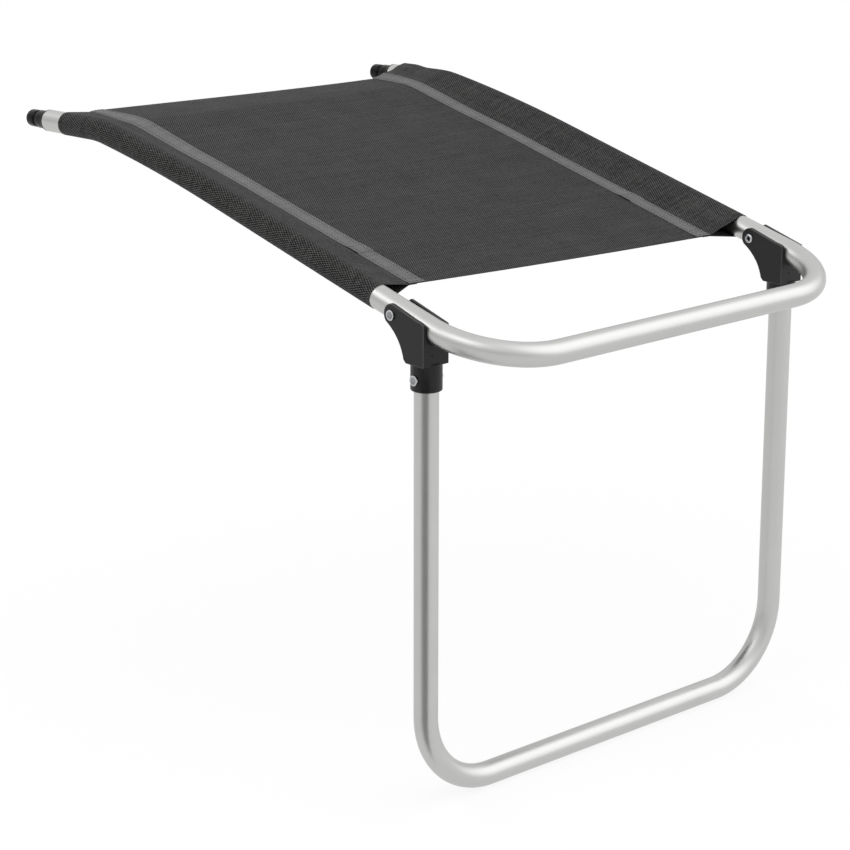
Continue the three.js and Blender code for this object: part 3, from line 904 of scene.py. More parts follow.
@dataclass(frozen=True)
class Tube:
    """Round tube with a bore and slightly rounded ends."""

    diameter: float = 0.022
    wall: float = 0.0015
    edge: float = 0.0003

    @property
    def radius(self) -> float:
        """Outside radius."""
        return self.diameter / 2.0

    def sweep(self, name: str, route: Route) -> bpy.types.Object:
        """Carries a ring out along the route and back inside it.

        The point at angle a of a ring is station + radius * (cos a * side + sin a * up), where
        side is up crossed with the tangent.

        Args:
            name: The piece's name.
            route: The tube's course.

        Returns:
            The hollow tube.
        """
        last = len(route.points) - 1
        there = np.arange(last + 1)
        index = np.concatenate([[0], there, [last], there[::-1], [0]])
        bore = self.radius - self.wall
        radius = np.full(len(index), self.radius)
        radius[[0, last + 2, -1]] = self.radius - self.edge
        radius[last + 3 : -1] = bore
        shift = np.zeros(len(index))
        shift[1], shift[last + 1] = self.edge, -self.edge
        angle = np.linspace(0.0, 2.0 * np.pi, ROUND_SIDES + 1)[None, :, None]
        sides = np.cross(route.ups, route.tangents)
        ring = wheel(angle, sides[index][:, None], route.ups[index][:, None])
        centre = route.points[index] + shift[:, None] * route.tangents[index]
        points = centre[:, None] + radius[:, None, None] * ring
        steps = np.linalg.norm(np.diff(route.points, axis=0), axis=1)
        along = np.concatenate([[0.0], np.cumsum(steps)])[index]
        places = paired(angle[:, :, 0] * self.radius, along[:, None])
        return Surface().grid(points, places).build(name)


@dataclass(frozen=True)
class SeatTube:
    """The tube that runs up one rail, across the front and back along the other."""

    rail: RailCourse
    tube: Tube
    crossbar_reach: float = 0.085
    corner_radius: float = 0.078

    def build(self) -> bpy.types.Object:
        """Follows both rails and the crossbar between them.

        Returns:
            The tube with its two front corners.
        """
        rail = self.rail
        start = rail.point(-rail.offset, rail.length)
        route = Route(start, -rail.direction(rail.length), rail.upright(rail.length))
        for length, turn in reversed(rail.runs):
            route.run(length, turn, X_AXIS)
        up = rail.upright(0.0)
        lead = self.crossbar_reach - self.corner_radius
        route.run(lead).run(self.corner_radius * QUARTER, QUARTER, up)
        route.run(rail.spacing - 2.0 * self.corner_radius)
        route.run(self.corner_radius * QUARTER, QUARTER, up).run(lead)
        for length, turn in rail.runs:
            route.run(length, turn, -X_AXIS)
        return self.tube.sweep("rail_tube", route)

    def dress(self) -> bpy.types.Object:
        """Satin aluminium."""
        return dress(self.build(), Body.SEAT, Slot.ALUMINIUM, ALUMINIUM.material(), "top_frame_tube")


@dataclass(frozen=True)
class LegTube:
    """The U-shaped leg that stands on the floor."""

    rail: RailCourse
    tube: Tube
    height: float = 0.4476
    bend_radius: float = 0.077
    top_drop: float = 0.022

    def build(self) -> bpy.types.Object:
        """Follows both legs and the bar on the floor between them.

        Returns:
            The tube with its two lower bends.
        """
        start = self.rail.datum + np.array([-self.rail.offset, 0.0, -self.top_drop])
        upright = self.height - self.tube.radius - self.bend_radius - self.top_drop
        route = Route(start, -Z_AXIS, Y_AXIS)
        route.run(upright).run(self.bend_radius * QUARTER, QUARTER, -Y_AXIS)
        route.run(self.rail.spacing - 2.0 * self.bend_radius)
        route.run(self.bend_radius * QUARTER, QUARTER, -Y_AXIS).run(upright)
        return self.tube.sweep("leg_tube", route)

    def dress(self) -> bpy.types.Object:
        """Satin aluminium."""
        return dress(self.build(), Body.LEG, Slot.ALUMINIUM, ALUMINIUM.material(), "leg_frame_tube")


# Turned pieces


@dataclass(frozen=True)
class EndPlug:
    """Stepped plug in a rail's rear end, with a groove behind its head."""

    rail: RailCourse
    tube: Tube
    body: float = 0.025
    flange: float = 0.0015
    taper: float = 0.004
    collar_diameter: float = 0.0184
    collar: float = 0.0115
    groove_diameter: float = 0.0146
    groove: float = 0.003
    head_diameter: float = 0.0175
    head: float = 0.013
    edge: float = 0.002
    back_edge: float = 0.0016
    rim: float = 0.0006

    @property
    def profile(self) -> Array:
        """Half section from the blind end to the tip.

        Returns:
            Points as radius and distance from the tube's end.
        """
        inside = self.tube.radius - self.tube.wall - FIT_GAP
        flange_end = FIT_GAP + self.flange
        collar_start = flange_end + self.taper
        collar_end = collar_start + self.collar
        head_start = collar_end + self.groove
        tip = head_start + self.head
        radius, collar = self.tube.radius, self.collar_diameter / 2.0
        groove, head = self.groove_diameter / 2.0, self.head_diameter / 2.0
        corners = [
            (0.0, -self.body, 0.0),
            (inside, -self.body, self.rim),
            (inside, FIT_GAP, 0.0),
            (radius, FIT_GAP, self.rim / 2.0),
            (radius, flange_end, self.rim),
            (collar, collar_start, self.rim),
            (collar, collar_end, self.rim * 2.0),
            (groove, collar_end, self.rim),
            (groove, head_start, self.rim),
            (head, head_start, self.back_edge),
            (head, tip, self.edge),
            (0.0, tip, 0.0),
        ]
        return rounded([c[:2] for c in corners], [c[2] for c in corners])

    def dress(self) -> None:
        """One glossy plug in each rail."""
        material = PLUG_PLASTIC.material()
        for side, sign in SIDES:
            end = self.rail.point(sign * self.rail.offset, self.rail.length)
            skin = Surface().grid(spun(self.profile, end, self.rail.direction(self.rail.length)))
            dress(skin.build(f"{side}_plug"), Body.SEAT, Slot.PLUG, material, f"{side}_end_plug")


@dataclass(frozen=True)
class Rivet:
    """Rivet with a dished head, and its hollow tail rolled over on the inner side."""

    name: str
    node: str
    body: Body
    shank_diameter: float
    head_diameter: float
    head_height: float
    grip: float
    tail_flange: float = 0.0018
    tail_diameter_share: float = 0.96
    bore_share: float = 0.6
    bore_depth: float = 0.005
    rim_share: float = 0.35
    dish_share: float = 0.78
    dish_depth_share: float = 0.75

    @property
    def profile(self) -> Array:
        """Half section from the tail's bore to the crown, about the middle of the grip.

        The head has a rounded rim round a dish whose depth falls with the square of the radius.
        The tail is a half ellipse from the bore's edge to the flange's.

        Returns:
            Points as radius and distance towards the head.
        """
        shank, head = self.shank_diameter / 2.0, self.head_diameter / 2.0
        seat = self.grip / 2.0 + FIT_GAP
        tail = -seat - self.tail_flange
        bore, flange = shank * self.bore_share, head * self.tail_diameter_share
        roll = np.linspace(np.pi, 2.0 * np.pi, 2 * RIM_STEPS + 1)
        middle, half = (bore + flange) / 2.0, (flange - bore) / 2.0
        rolled = paired(middle + half * np.cos(roll), -seat + self.tail_flange * np.sin(roll))
        top = seat + self.head_height
        dish = head * self.dish_share
        rim = self.head_height * self.rim_share
        edge = [(head, seat), (head, top), (dish, top)]
        crown = rounded(edge, [0.0, rim, 0.0], 2 * RIM_STEPS)
        inward = np.linspace(1.0, 0.0, 2 * RIM_STEPS)[1:]
        sunk = top - self.head_height * self.dish_depth_share * (1.0 - inward**2)
        crown = np.concatenate([crown, paired(dish * inward, sunk)])
        depth = tail + self.bore_depth
        floor, stem = [(0.0, depth), (bore, depth)], [(shank, -seat), (shank, seat)]
        return np.concatenate([floor, rolled, stem, crown])

    def dress(self, centre: Array, offset: float, material: bpy.types.Material) -> None:
        """One rivet on each side, heads outwards.

        Args:
            centre: The rivets' axis where it crosses the middle of the leg rest.
            offset: From there to the middle of each rivet.
            material: Its finish.
        """
        profile = self.profile
        around = np.linspace(0.0, self.head_diameter, ROUND_SIDES + 1)
        places = paired(around, profile[:, :1])
        for side, sign in SIDES:
            place = centre + sign * offset * X_AXIS
            skin = Surface().grid(spun(profile, place, sign * X_AXIS), places)
            piece = skin.build(f"{side}_{self.name}")
            dress(piece, self.body, Slot.RIVET, material, f"{side}_{self.node}")


# Forked brackets


Fill = Callable[[Surface], object]


@dataclass(frozen=True)
class Bracket:
    """Moulded fork: a saddle under the rail, an ear for the pivot and a socket for the leg."""

    rail: RailCourse
    tube: Tube
    width: float = 0.0296
    saddle_gap: float = 0.0003
    ear_radius: float = 0.010
    front_rise: float = 0.008
    low_rise: float = 0.0066
    low_taper: float = math.radians(1.8)
    lug_height: float = 0.0004
    lug_span: tuple[float, float] = (0.0030, 0.0075)
    front: float = 0.0125
    rear: float = 0.014
    drop: float = 0.0325
    chamfer: float = 0.003
    edge: float = 0.0010
    rear_curve_across_share: float = 0.19
    rear_curve_down_share: float = 0.37
    rear_curve_steps: int = 16
    ear_tangent: float = math.radians(-42.0)
    ear_points: int = 28
    socket_diameter: float = 0.028
    socket_drop: float = 0.056
    socket_root: float = 0.0015
    socket_lip: float = 0.0012
    leg_top_drop: float = 0.022
    hole_diameters: tuple[float, float] = (0.0066, 0.0056)
    socket_rivet_drop: float = 0.0455
    dimple_radius: float = 0.0022
    dimple_depth: float = 0.0007
    dimple_place: tuple[float, float] = (-0.005, -0.0222)
    overrun: float = 0.006

    @property
    def pivot(self) -> Array:
        """Y and Z of the pivot from the rail axis at the legs."""
        y, z, _ = self.rail.local(self.rail.pivot_setback)
        return np.array([float(y), float(z)])

    def outline(self, low: bool) -> Array:
        """Cheek's outline in Y and Z: straight front and top, round ear, curved back.

        The lower cheek's top is a straight cut at low_rise above the rail at the legs, which
        climbs low_taper more than the rail. The other one has a small lug near its front.

        Args:
            low: Whether this is the lower cheek.

        Returns:
            The closed outline, counter-clockwise.
        """
        slope = self.rail.slope
        corner = self.front_rise / math.cos(slope) - self.front * math.tan(slope)
        ear = np.linspace(self.ear_tangent, QUARTER + slope, self.ear_points)
        round_ear = self.pivot + circle(self.ear_radius, ear)
        foot = np.array([self.rear, self.chamfer - self.drop])
        top = round_ear[0]
        bend = foot + (top - foot) * np.array(
            [self.rear_curve_across_share, 1.0 - self.rear_curve_down_share]
        )
        t = shares(self.rear_curve_steps)[:-1, None]
        back = (1.0 - t) ** 2 * foot + 2.0 * t * (1.0 - t) * bend + t**2 * top
        base = [
            (-self.front, 0.0),
            (-self.front, -self.drop),
            (self.rear - self.chamfer, -self.drop),
            tuple(foot),
        ]
        lower = rounded(base, [0.0, self.edge, self.edge * 2.0, 0.0])
        if low:
            climb = slope + self.low_taper
            level = self.low_rise / math.cos(climb)
            cut = level + round_ear[:, 0] * math.tan(climb) - self.edge / 2.0
            kept = round_ear[round_ear[:, 1] < cut]
            crest = kept[-1, 0] - self.edge
            line = [(y, level + y * math.tan(climb)) for y in (crest, -self.front)]
            upper = rounded(
                [tuple(kept[-1]), *line, (-self.front, 0.0)], [0.0, self.edge, self.edge, 0.0]
            )
            return np.concatenate([lower[1:-1], back, kept[:-1], upper[:-1]])
        end = round_ear[-1]
        climb = (end[1] - corner) / (end[0] + self.front)
        lift = self.lug_height
        near, far = self.lug_span
        line = [
            (y - self.front, corner + y * climb + rise)
            for y, rise in ((far + lift, 0.0), (far, lift), (near, lift), (0.0, 0.0))
        ]
        upper = rounded(
            [tuple(end), *line, (-self.front, 0.0)],
            [0.0, lift / 3.0, lift / 3.0, lift / 2.0, self.edge, 0.0],
        )
        return np.concatenate([lower[1:-1], back, round_ear, upper[1:-1]])

    @staticmethod
    def _solid(fill: Fill) -> bpy.types.Object:
        """A separate solid for a join or a cut.

        Args:
            fill: Adds the solid's faces to an empty surface.

        Returns:
            The solid.
        """
        surface = Surface()
        fill(surface)
        return surface.build("tool")

    def _half(self, low: bool, side: float) -> Fill:
        """One cheek and most of the block, which reaches past the middle.

        Args:
            low: Whether this is the lower cheek.
            side: 1 for the cheek on the +X side and -1 for the other.

        Returns:
            A function that adds the solid's faces.
        """
        width = self.width / 2.0 + self.width / 4.0
        shift = side * (self.width / 2.0 - width / 2.0) * X_AXIS

        def fill(surface: Surface) -> None:
            """Adds the plate with its outer face on the given side."""
            rimmed(surface, self.outline(low), width, self.edge)
            surface.points = [points + shift for points in surface.points]

        return fill

    @staticmethod
    def _block(size: Point, centre: Point) -> Fill:
        """A box, as a plate without rounded rims.

        Args:
            size: Its width, depth and height.
            centre: Its middle, of which X is zero.

        Returns:
            A function that adds the solid's faces.
        """
        y, z = size[1] / 2.0, size[2] / 2.0
        outline = np.array([(-y, -z), (y, -z), (y, z), (-y, z)]) + np.array(centre[1:])
        return lambda surface: rimmed(surface, outline, size[0], 0.0)

    def _channel(self, surface: Surface) -> None:
        """U-shaped cutter along the rail, round below and straight above.

        Args:
            surface: Takes the cutter.
        """
        radius = self.tube.radius + self.saddle_gap
        height = self.ear_radius + self.overrun
        turn = np.linspace(math.pi, 2.0 * math.pi, ROUND_SIDES // 2 + 1)
        section = np.concatenate([[(-radius, height)], circle(radius, turn), [(radius, height)]])
        reach = self.front + self.rear + self.drop
        middle = section[:, :1] * X_AXIS + section[:, 1:] * self.rail.upright(0.0)
        rows = np.stack([middle + sign * reach * self.rail.direction(0.0) for sign in (-1.0, 1.0)])
        surface.grid(np.concatenate([rows, rows[:, :1]], axis=1))
        surface.loop(rows[0])
        surface.loop(rows[1])

    @staticmethod
    def _cylinder(radius: float, low: float, high: float, centre: Array, axis: Array) -> Fill:
        """A cylinder between two distances along an axis."""
        profile = np.array([(0.0, low), (radius, low), (radius, high), (0.0, high)])
        return lambda surface: surface.grid(spun(profile, centre, axis))

    def _hole(self, diameter: float, centre: Array) -> Fill:
        """A rivet's hole through the whole width."""
        across = self.width / 2.0 + self.overrun
        return self._cylinder(diameter / 2.0, -across, across, centre, X_AXIS)

    def _socket(self, surface: Surface) -> None:
        """Round socket with a rounded mouth.

        Args:
            surface: Takes the socket.
        """
        radius = self.socket_diameter / 2.0
        corners = [
            (0.0, -self.socket_drop),
            (radius, -self.socket_drop),
            (radius, self.socket_root - self.drop),
            (0.0, self.socket_root - self.drop),
        ]
        surface.grid(spun(rounded(corners, [0.0, self.socket_lip, 0.0, 0.0]), np.zeros(3), Z_AXIS))

    def _dimple(self, surface: Surface) -> None:
        """Ball that leaves a shallow round dimple in the front face.

        A ball that leaves a dimple of radius r and depth d has the radius (r^2 + d^2) / 2d.

        Args:
            surface: Takes the ball.
        """
        ball = (self.dimple_radius**2 + self.dimple_depth**2) / (2.0 * self.dimple_depth)
        turn = np.linspace(-QUARTER, QUARTER, ROUND_SIDES // 2 + 1)
        x, z = self.dimple_place
        centre = np.array([x, -self.front - ball + self.dimple_depth, z])
        surface.grid(spun(circle(ball, turn), centre, Y_AXIS))

    def build(self, name: str) -> bpy.types.Object:
        """Joins and cuts the fork about the rail axis at the legs.

        Args:
            name: The piece's name.

        Returns:
            The fork, still at the origin.
        """
        piece = self._solid(self._half(True, 1.0))
        piece.name = name
        channel = 2.0 * (self.tube.radius + self.saddle_gap)
        depth = float(self.pivot[0]) + self.ear_radius + self.overrun - self.rear
        pocket = (channel, depth, 2.0 * (self.drop + self.overrun))
        low, high = -self.socket_drop - self.overrun, FIT_GAP - self.leg_top_drop
        bore = self._cylinder(self.tube.radius + FIT_GAP, low, high, np.zeros(3), Z_AXIS)
        pivot, socket = np.array([0.0, *self.pivot]), -self.socket_rivet_drop * Z_AXIS
        steps = [
            (Join.ADD, self._half(False, -1.0)),
            (Join.CUT, self._block(pocket, (0.0, self.rear + depth / 2.0, 0.0))),
            (Join.ADD, self._socket),
            (Join.CUT, self._channel),
            (Join.CUT, bore),
            (Join.CUT, self._hole(self.hole_diameters[0], pivot)),
            (Join.CUT, self._hole(self.hole_diameters[1], socket)),
            (Join.CUT, self._dimple),
        ]
        for join, fill in steps:
            combine(piece, self._solid(fill), join)
        weld(piece.data)
        shade(piece.data, SHARP)
        modifier = piece.modifiers.new("Even faces", "WEIGHTED_NORMAL")
        modifier.keep_sharp = True
        return piece

    def dress(self) -> None:
        """One bracket on each rail."""
        material = BRACKET_PLASTIC.material()
        for side, sign in SIDES:
            piece = self.build(f"{side}_fork")
            shift = self.rail.datum + sign * self.rail.offset * X_AXIS
            points = np.empty(len(piece.data.vertices) * 3, np.float32)
            piece.data.vertices.foreach_get("co", points)
            moved = (points.reshape(-1, 3) + shift).astype(np.float32)
            piece.data.vertices.foreach_set("co", moved.ravel())
            dress(piece, Body.LEG, Slot.BRACKET, material, f"{side}_bracket")


# Mesh seat


@dataclass(frozen=True)
class Edge:
    """Where the mesh ends along the rails: at each rail and at each seam."""

    left_rail: float
    left_seam: float
    right_seam: float
    right_rail: float


@dataclass(frozen=True)
class Lean:
    """Extra height of a seam's outer and inner edges, along its rear half and at its rear end."""

    outer: float
    inner: float
    end_outer: float
    end_inner: float


@dataclass(frozen=True)
class MeshSeat:
    """Mesh stretched between the rails, with a sleeve round each and a band over each seam.

    Heights are measured from a rail's axis. A band is two lengths of tape: the rear one stands up
    by joint_step where it lies over the end of the front one, and the front one stands up by
    hem_step where its own front end is turned under.
    """

    rail: RailCourse
    tube: Tube
    thickness: float = 0.0006
    slack: float = 0.00005
    seam_width: float = 0.0175
    seam_lap: float = 0.009
    band_thickness: float = 0.00045
    inset_front: float = 0.046
    inset_rear: float = 0.037
    seam_level: float = -0.002
    rear_lift: float = 0.0077
    sag: float = 0.001
    seam_dip: float = 0.0018
    left_lean: Lean = Lean(-0.0018, 0.0008, 0.0, 0.0)
    right_lean: Lean = Lean(-0.0002, -0.0018, 0.001, -0.003)
    tilt_span: tuple[float, float] = (0.3, 0.52)
    tilt_end: tuple[float, float] = (0.06, 0.012)
    end_flare: float = 0.0022
    end_flare_span: tuple[float, float] = (0.044, 0.018)
    end_flare_width: float = 2.2  # in girth radii
    layer_gap: float = 20.0 * WELD  # keeps a tongue's two layers apart when points are merged
    joint: float = 0.149
    joint_step: float = 0.0008
    joint_lap: float = 0.012
    joint_rows_share: float = 0.003
    hem: float = 0.0034
    hem_step: float = 0.0005
    hem_stitch_share: float = 0.65
    stitch_length: float = 0.0028
    stitch_pitch: float = 0.0038
    stitch_rows: tuple[float, float] = (0.17, 0.83)
    stitch_lead: float = 0.1  # in stitches
    stitch_stop: float = 1.5
    stitch_rise: float = 0.5
    stitch_sink: float = 0.3
    stitch_steps: int = 6
    thread: float = 0.0005
    thread_end_share: float = 0.25
    front: Edge = Edge(0.065, 0.078, 0.054, 0.0575)
    bare: Edge = Edge(0.0315, 0.0125, 0.0295, 0.018)
    rows: int = 160
    columns: int = 120
    band_columns: int = 4
    joint_rows: int = 20
    girth_steps: int = 64
    reach_steps: int = 12
    lap_steps: int = 4

    @property
    def rear(self) -> Edge:
        """The rear edge, measured from the legs like the front one."""
        return Edge(*(self.rail.length - bare for bare in astuple(self.bare)))

    @property
    def seam_length(self) -> float:
        """Length of the left seam."""
        return self.rear.left_seam - self.front.left_seam

    @property
    def mean_inset(self) -> float:
        """From a rail's axis to the seam's outer edge, halfway between front and rear."""
        return (self.inset_front + self.inset_rear) / 2.0

    @property
    def girth_radius(self) -> float:
        """From a rail's axis to the middle of the cloth round it."""
        return self.tube.radius + self.slack + self.thickness / 2.0

    @property
    def seam_x(self) -> float:
        """From the middle to the seam's outer edge at the front."""
        return self.rail.offset - self.inset_front

    def _edge_at(self, edge: Edge, x: Array) -> Array:
        """An edge that runs straight from seam to seam, then over to its place on the rail.

        Args:
            edge: The front or rear edge.
            x: Distances from the middle of the leg rest.

        Returns:
            Distances behind the legs.
        """
        across = np.clip((x + self.seam_x) / (2.0 * self.seam_x), 0.0, 1.0)
        outward = np.clip((np.abs(x) - self.seam_x) / self.inset_front, 0.0, 1.0)
        rail = np.where(x < 0.0, edge.left_rail, edge.right_rail)
        return mix(mix(edge.left_seam, edge.right_seam, across), rail, outward)

    def along_at(self, x: Array, share: Array) -> Array:
        """Distance behind the legs at x, as share goes from the front edge to the rear one."""
        return mix(self._edge_at(self.front, x), self._edge_at(self.rear, x), share)

    def level_at(self, along: Array) -> Array:
        """A seam's height, where the taut cloth cuts across below the rail's arch.

        Args:
            along: Distances behind the legs.

        Returns:
            Heights of the seam's outer edge, before it leans.
        """
        start = self.rail.straight + self.rail.sweep / 2.0
        lift = self.rear_lift * smoothstep(along, start, self.rear.left_seam)
        share = (along - self.front.right_seam) / (self.rear.left_seam - self.front.right_seam)
        dip = self.seam_dip * np.sin(np.pi * np.clip(share, 0.0, 1.0)) ** 2
        return self.seam_level + lift - dip

    def tilt_at(self, sign: float, along: Array, inward: Array | float) -> Array:
        """Extra height where a seam leans, as the cloth turns from the rail's arch to the panel.

        Args:
            sign: -1 for the left seam and 1 for the right one.
            along: Distance behind the legs.
            inward: Distance from the seam's outer edge towards the middle.

        Returns:
            The height, which stays at the inner edge's beyond that edge.
        """
        left = sign < 0.0
        lean = self.left_lean if left else self.right_lean
        end = self.rear.left_seam if left else self.rear.right_seam
        share = np.clip(np.asarray(inward) / self.seam_width, 0.0, 1.0)
        body = mix(lean.outer, lean.inner, share) * smoothstep(along, *self.tilt_span)
        start, full = (end - reach for reach in self.tilt_end)
        return mix(body, mix(lean.end_outer, lean.end_inner, share), smoothstep(along, start, full))

    def inset_at(self, sign: float, share: Array) -> Array:
        """From the rail's axis in to the seam's outer edge.

        Args:
            sign: -1 for the left seam and 1 for the right one.
            share: From the front edge to the rear one, 0 to 1.

        Returns:
            The distance along X.
        """
        along = self.along_at(np.array(sign * self.seam_x), share)
        low, high = self.front.right_seam, self.rear.left_seam
        return mix(self.inset_front, self.inset_rear, (along - low) / (high - low))

    def _slab(
        self, name: str, x: Array, share: Array, rise: Array, thickness: float
    ) -> bpy.types.Object:
        """A sheet between two faces, closed round its edges.

        Args:
            name: The piece's name.
            x: Rows by columns, across the seat.
            share: Rows by columns, from the front edge to the rear one.
            rise: Rows by columns, the lower face above the rail axis.
            thickness: From the lower face to the upper one.

        Returns:
            The sheet.
        """
        along = self.along_at(x, share)
        low, high = (self.rail.point(x, along, rise + t) for t in (0.0, thickness))
        flat = np.stack([x, along], axis=-1)
        return Surface().sheet(high, low, flat).build(name, CLOTH_SHARP)

    def panel(self) -> bpy.types.Object:
        """The stretched sheet between the seams, which sags as a parabola from side to side.

        Returns:
            The sheet.
        """
        share, across = np.meshgrid(shares(self.rows), shares(self.columns), indexing="ij")
        left, right = (
            sign * (self.rail.offset - self.inset_at(sign, share) - self.seam_lap - FIT_GAP)
            for sign in (-1.0, 1.0)
        )
        x = mix(left, right, across)
        along = self.along_at(x, share)
        left_tilt = self.tilt_at(-1.0, along, self.seam_lap + x - left)
        right_tilt = self.tilt_at(1.0, along, self.seam_lap + right - x)
        level = self.level_at(along) + mix(left_tilt, right_tilt, smoothstep(across, 0.0, 1.0))
        rise = level - self.sag * (1.0 - (2.0 * across - 1.0) ** 2)
        return self._slab("mesh_seat", x, share, rise, self.thickness)

    def _on_band(self, sign: float, share: Array, across: Array) -> tuple[Array, Array]:
        """Places on the lower face of a seam's band.

        Args:
            sign: -1 for the left seam and 1 for the right one.
            share: From the front edge to the rear one, 0 to 1.
            across: From the band's outer edge to its inner one, 0 to 1.

        Returns:
            X and the height.
        """
        x = sign * (self.rail.offset - self.inset_at(sign, share) - self.seam_width * across)
        along = self.along_at(x, share)
        lap = smoothstep(along, self.joint, self.joint + self.joint_step / 2.0)
        lap = lap - smoothstep(along, self.joint + self.joint_lap, self.joint + self.joint_lap * 2.0)
        near = along - self.along_at(x, np.zeros_like(share))
        hem = smoothstep(-near, -self.hem - self.hem_step, -self.hem)
        step = self.joint_step * lap + self.hem_step * hem
        lean = self.tilt_at(sign, along, self.seam_width * across)
        return x, self.level_at(along) + lean + self.thickness + self.slack + step

    def band(self, side: str, sign: float) -> bpy.types.Object:
        """Woven tape over a seam, with more rows of points where the left band has its joint.

        Args:
            side: The side's name.
            sign: -1 for the left side and 1 for the right one.

        Returns:
            The band.
        """
        joint = (self.joint - self.front.left_seam) / self.seam_length
        near = joint + np.linspace(-1.0, 1.0, self.joint_rows + 1) * self.joint_rows_share
        rows = np.sort(np.concatenate([shares(self.rows), near]))
        share, across = np.meshgrid(rows, shares(self.band_columns), indexing="ij")
        x, rise = self._on_band(sign, share, across)
        return self._slab(f"{side}_band", x, share, rise, self.band_thickness)

    def stitching(self, side: str, sign: float) -> bpy.types.Object:
        """Lockstitches along both edges of a band and across its two ends.

        A stitch runs straight between two points of the band. Its thread's middle rises and sinks
        as sin(pi t), and the thread is a tube that narrows with the root of that towards both ends.

        Args:
            side: The side's name.
            sign: -1 for the left side and 1 for the right one.

        Returns:
            All the stitches of the band, as one piece.
        """
        step, reach = self.stitch_pitch / self.seam_length, self.stitch_length / self.seam_length
        starts = np.arange(step, 1.0 - step * self.stitch_stop, step)
        rows = [np.full_like(starts, row) for row in self.stitch_rows]
        ends = [(starts, starts + reach, row, row) for row in rows]
        count = int(self.seam_width / self.stitch_pitch)
        first = (np.arange(count) + self.stitch_lead) / count
        last = first + self.stitch_length / self.seam_width
        for place in (self.hem * self.hem_stitch_share, self.seam_length - self.hem):
            level = np.full(count, place / self.seam_length)
            ends.append((level, level, first, last))
        share0, share1, across0, across1 = (np.concatenate(part)[:, None] for part in zip(*ends))
        t = shares(self.stitch_steps)[None]
        share, across = mix(share0, share1, t), mix(across0, across1, t)
        x, rise = self._on_band(sign, share, across)
        arch = np.sin(np.pi * t)
        radius = self.thread / 2.0 * mix(self.thread_end_share, 1.0, np.sqrt(arch.clip(0.0)))
        proud = self.thread * (self.stitch_rise * arch - self.stitch_sink)
        middle = self.rail.point(x, self.along_at(x, share), rise + self.band_thickness + proud)
        ahead = unit(np.gradient(middle, axis=1))
        side_of = unit(np.cross(ahead, Z_AXIS))
        over = np.cross(side_of, ahead)
        turn = np.linspace(0.0, 2.0 * np.pi, self.stitch_steps + 1)[None, None, :, None]
        ring = wheel(turn, side_of[:, :, None], over[:, :, None])
        tubes = middle[:, :, None] + radius[..., None, None] * ring
        caps = np.repeat(middle[:, [0, -1], None], self.stitch_steps + 1, axis=2)
        closed = np.concatenate([caps[:, :1], tubes, caps[:, 1:]], axis=1)
        return Surface().grids(closed).build(f"{side}_stitching")

    def sleeve(self, side: str, sign: float) -> bpy.types.Object:
        """Cloth that leaves the seam, goes round the rail and comes back to the seam.

        In section it is a straight stretch that touches a circle about the rail's axis, an arc of
        that circle and a second straight stretch, then both layers lie together as a tongue. A
        straight line from a point at distance d and angle p touches a circle of radius r at the
        angle p plus or minus acos(r / d). The right sleeve's rear end flares a little above the rail.

        Args:
            side: The side's name.
            sign: -1 for the left side and 1 for the right one.

        Returns:
            The sleeve.
        """
        share = shares(self.rows)[:, None]
        seam_along = self.along_at(np.array(sign * self.seam_x), share)
        inset = self.inset_at(sign, share)
        level, lap_level = (
            self.level_at(seam_along) + self.tilt_at(sign, seam_along, inward)
            for inward in (0.0, self.seam_lap)
        )
        half, radius = self.thickness / 2.0, self.girth_radius
        spans = []
        for side_of in (1.0, -1.0):
            tip = level + side_of * half
            distance, angle = np.hypot(inset, tip), np.arctan2(tip, inset)
            spans.append((tip, angle + side_of * np.arccos(radius / distance)))
        (high, upper), (low, lower) = spans
        reach, tongue = shares(self.reach_steps)[None], shares(self.lap_steps)[None]
        arc = circle(radius, mix(upper, lower + 2.0 * np.pi, shares(self.girth_steps)[None]))
        lap = inset + self.seam_lap
        runs = [
            self._line(lap, lap_level + half, inset, high, tongue[:, :-1]),
            self._line(inset, high, arc[:, :1, 0], arc[:, :1, 1], reach[:, :-1]),
            arc[:, :-1],
            self._line(arc[:, -1:, 0], arc[:, -1:, 1], inset, low, reach[:, :-1]),
            self._line(inset, low, lap, lap_level - half, tongue),
        ]
        middle = np.concatenate(runs, axis=1)
        if sign > 0.0:
            start, full = (1.0 - length / self.rail.length for length in self.end_flare_span)
            beside = 1.0 - smoothstep(middle[..., 0], radius, radius * self.end_flare_width)
            above = smoothstep(middle[..., 1], 0.0, radius)
            middle[..., 1] += self.end_flare * smoothstep(share, start, full) * above * beside
        ahead = unit(np.gradient(middle, axis=1))
        outwards = np.stack([ahead[..., 1], -ahead[..., 0]], axis=-1)
        outside, inside = (middle + k * (half - self.layer_gap) * outwards for k in (-1.0, 1.0))
        steps = np.linalg.norm(np.diff(middle, axis=1, prepend=middle[:, :1]), axis=2)
        girth = np.cumsum(steps, axis=1)

        def placed(section: Array) -> tuple[Array, Array]:
            """Carries a section along the rail.

            Args:
                section: Rows by points by 2, the distance in from the rail's axis and the height.

            Returns:
                The points in space, and their places on the flat cloth.
            """
            x = sign * (self.rail.offset - section[..., 0])
            over = sign * np.minimum(np.abs(x), self.rail.offset)
            along = self.along_at(over, np.broadcast_to(share, x.shape))
            return self.rail.point(x, along, section[..., 1]), np.stack([girth, along], axis=-1)

        (outer, flat), (inner, _) = placed(outside), placed(inside)
        return Surface().sheet(outer, inner, flat).build(f"{side}_mesh_sleeve", CLOTH_SHARP)

    @staticmethod
    def _line(x0: Array, y0: Array, x1: Array, y1: Array, t: Array) -> Array:
        """Points from (x0, y0) towards (x1, y1) at the shares t, for every row."""
        return np.stack([mix(x0, x1, t), mix(y0, y1, t)], axis=-1)

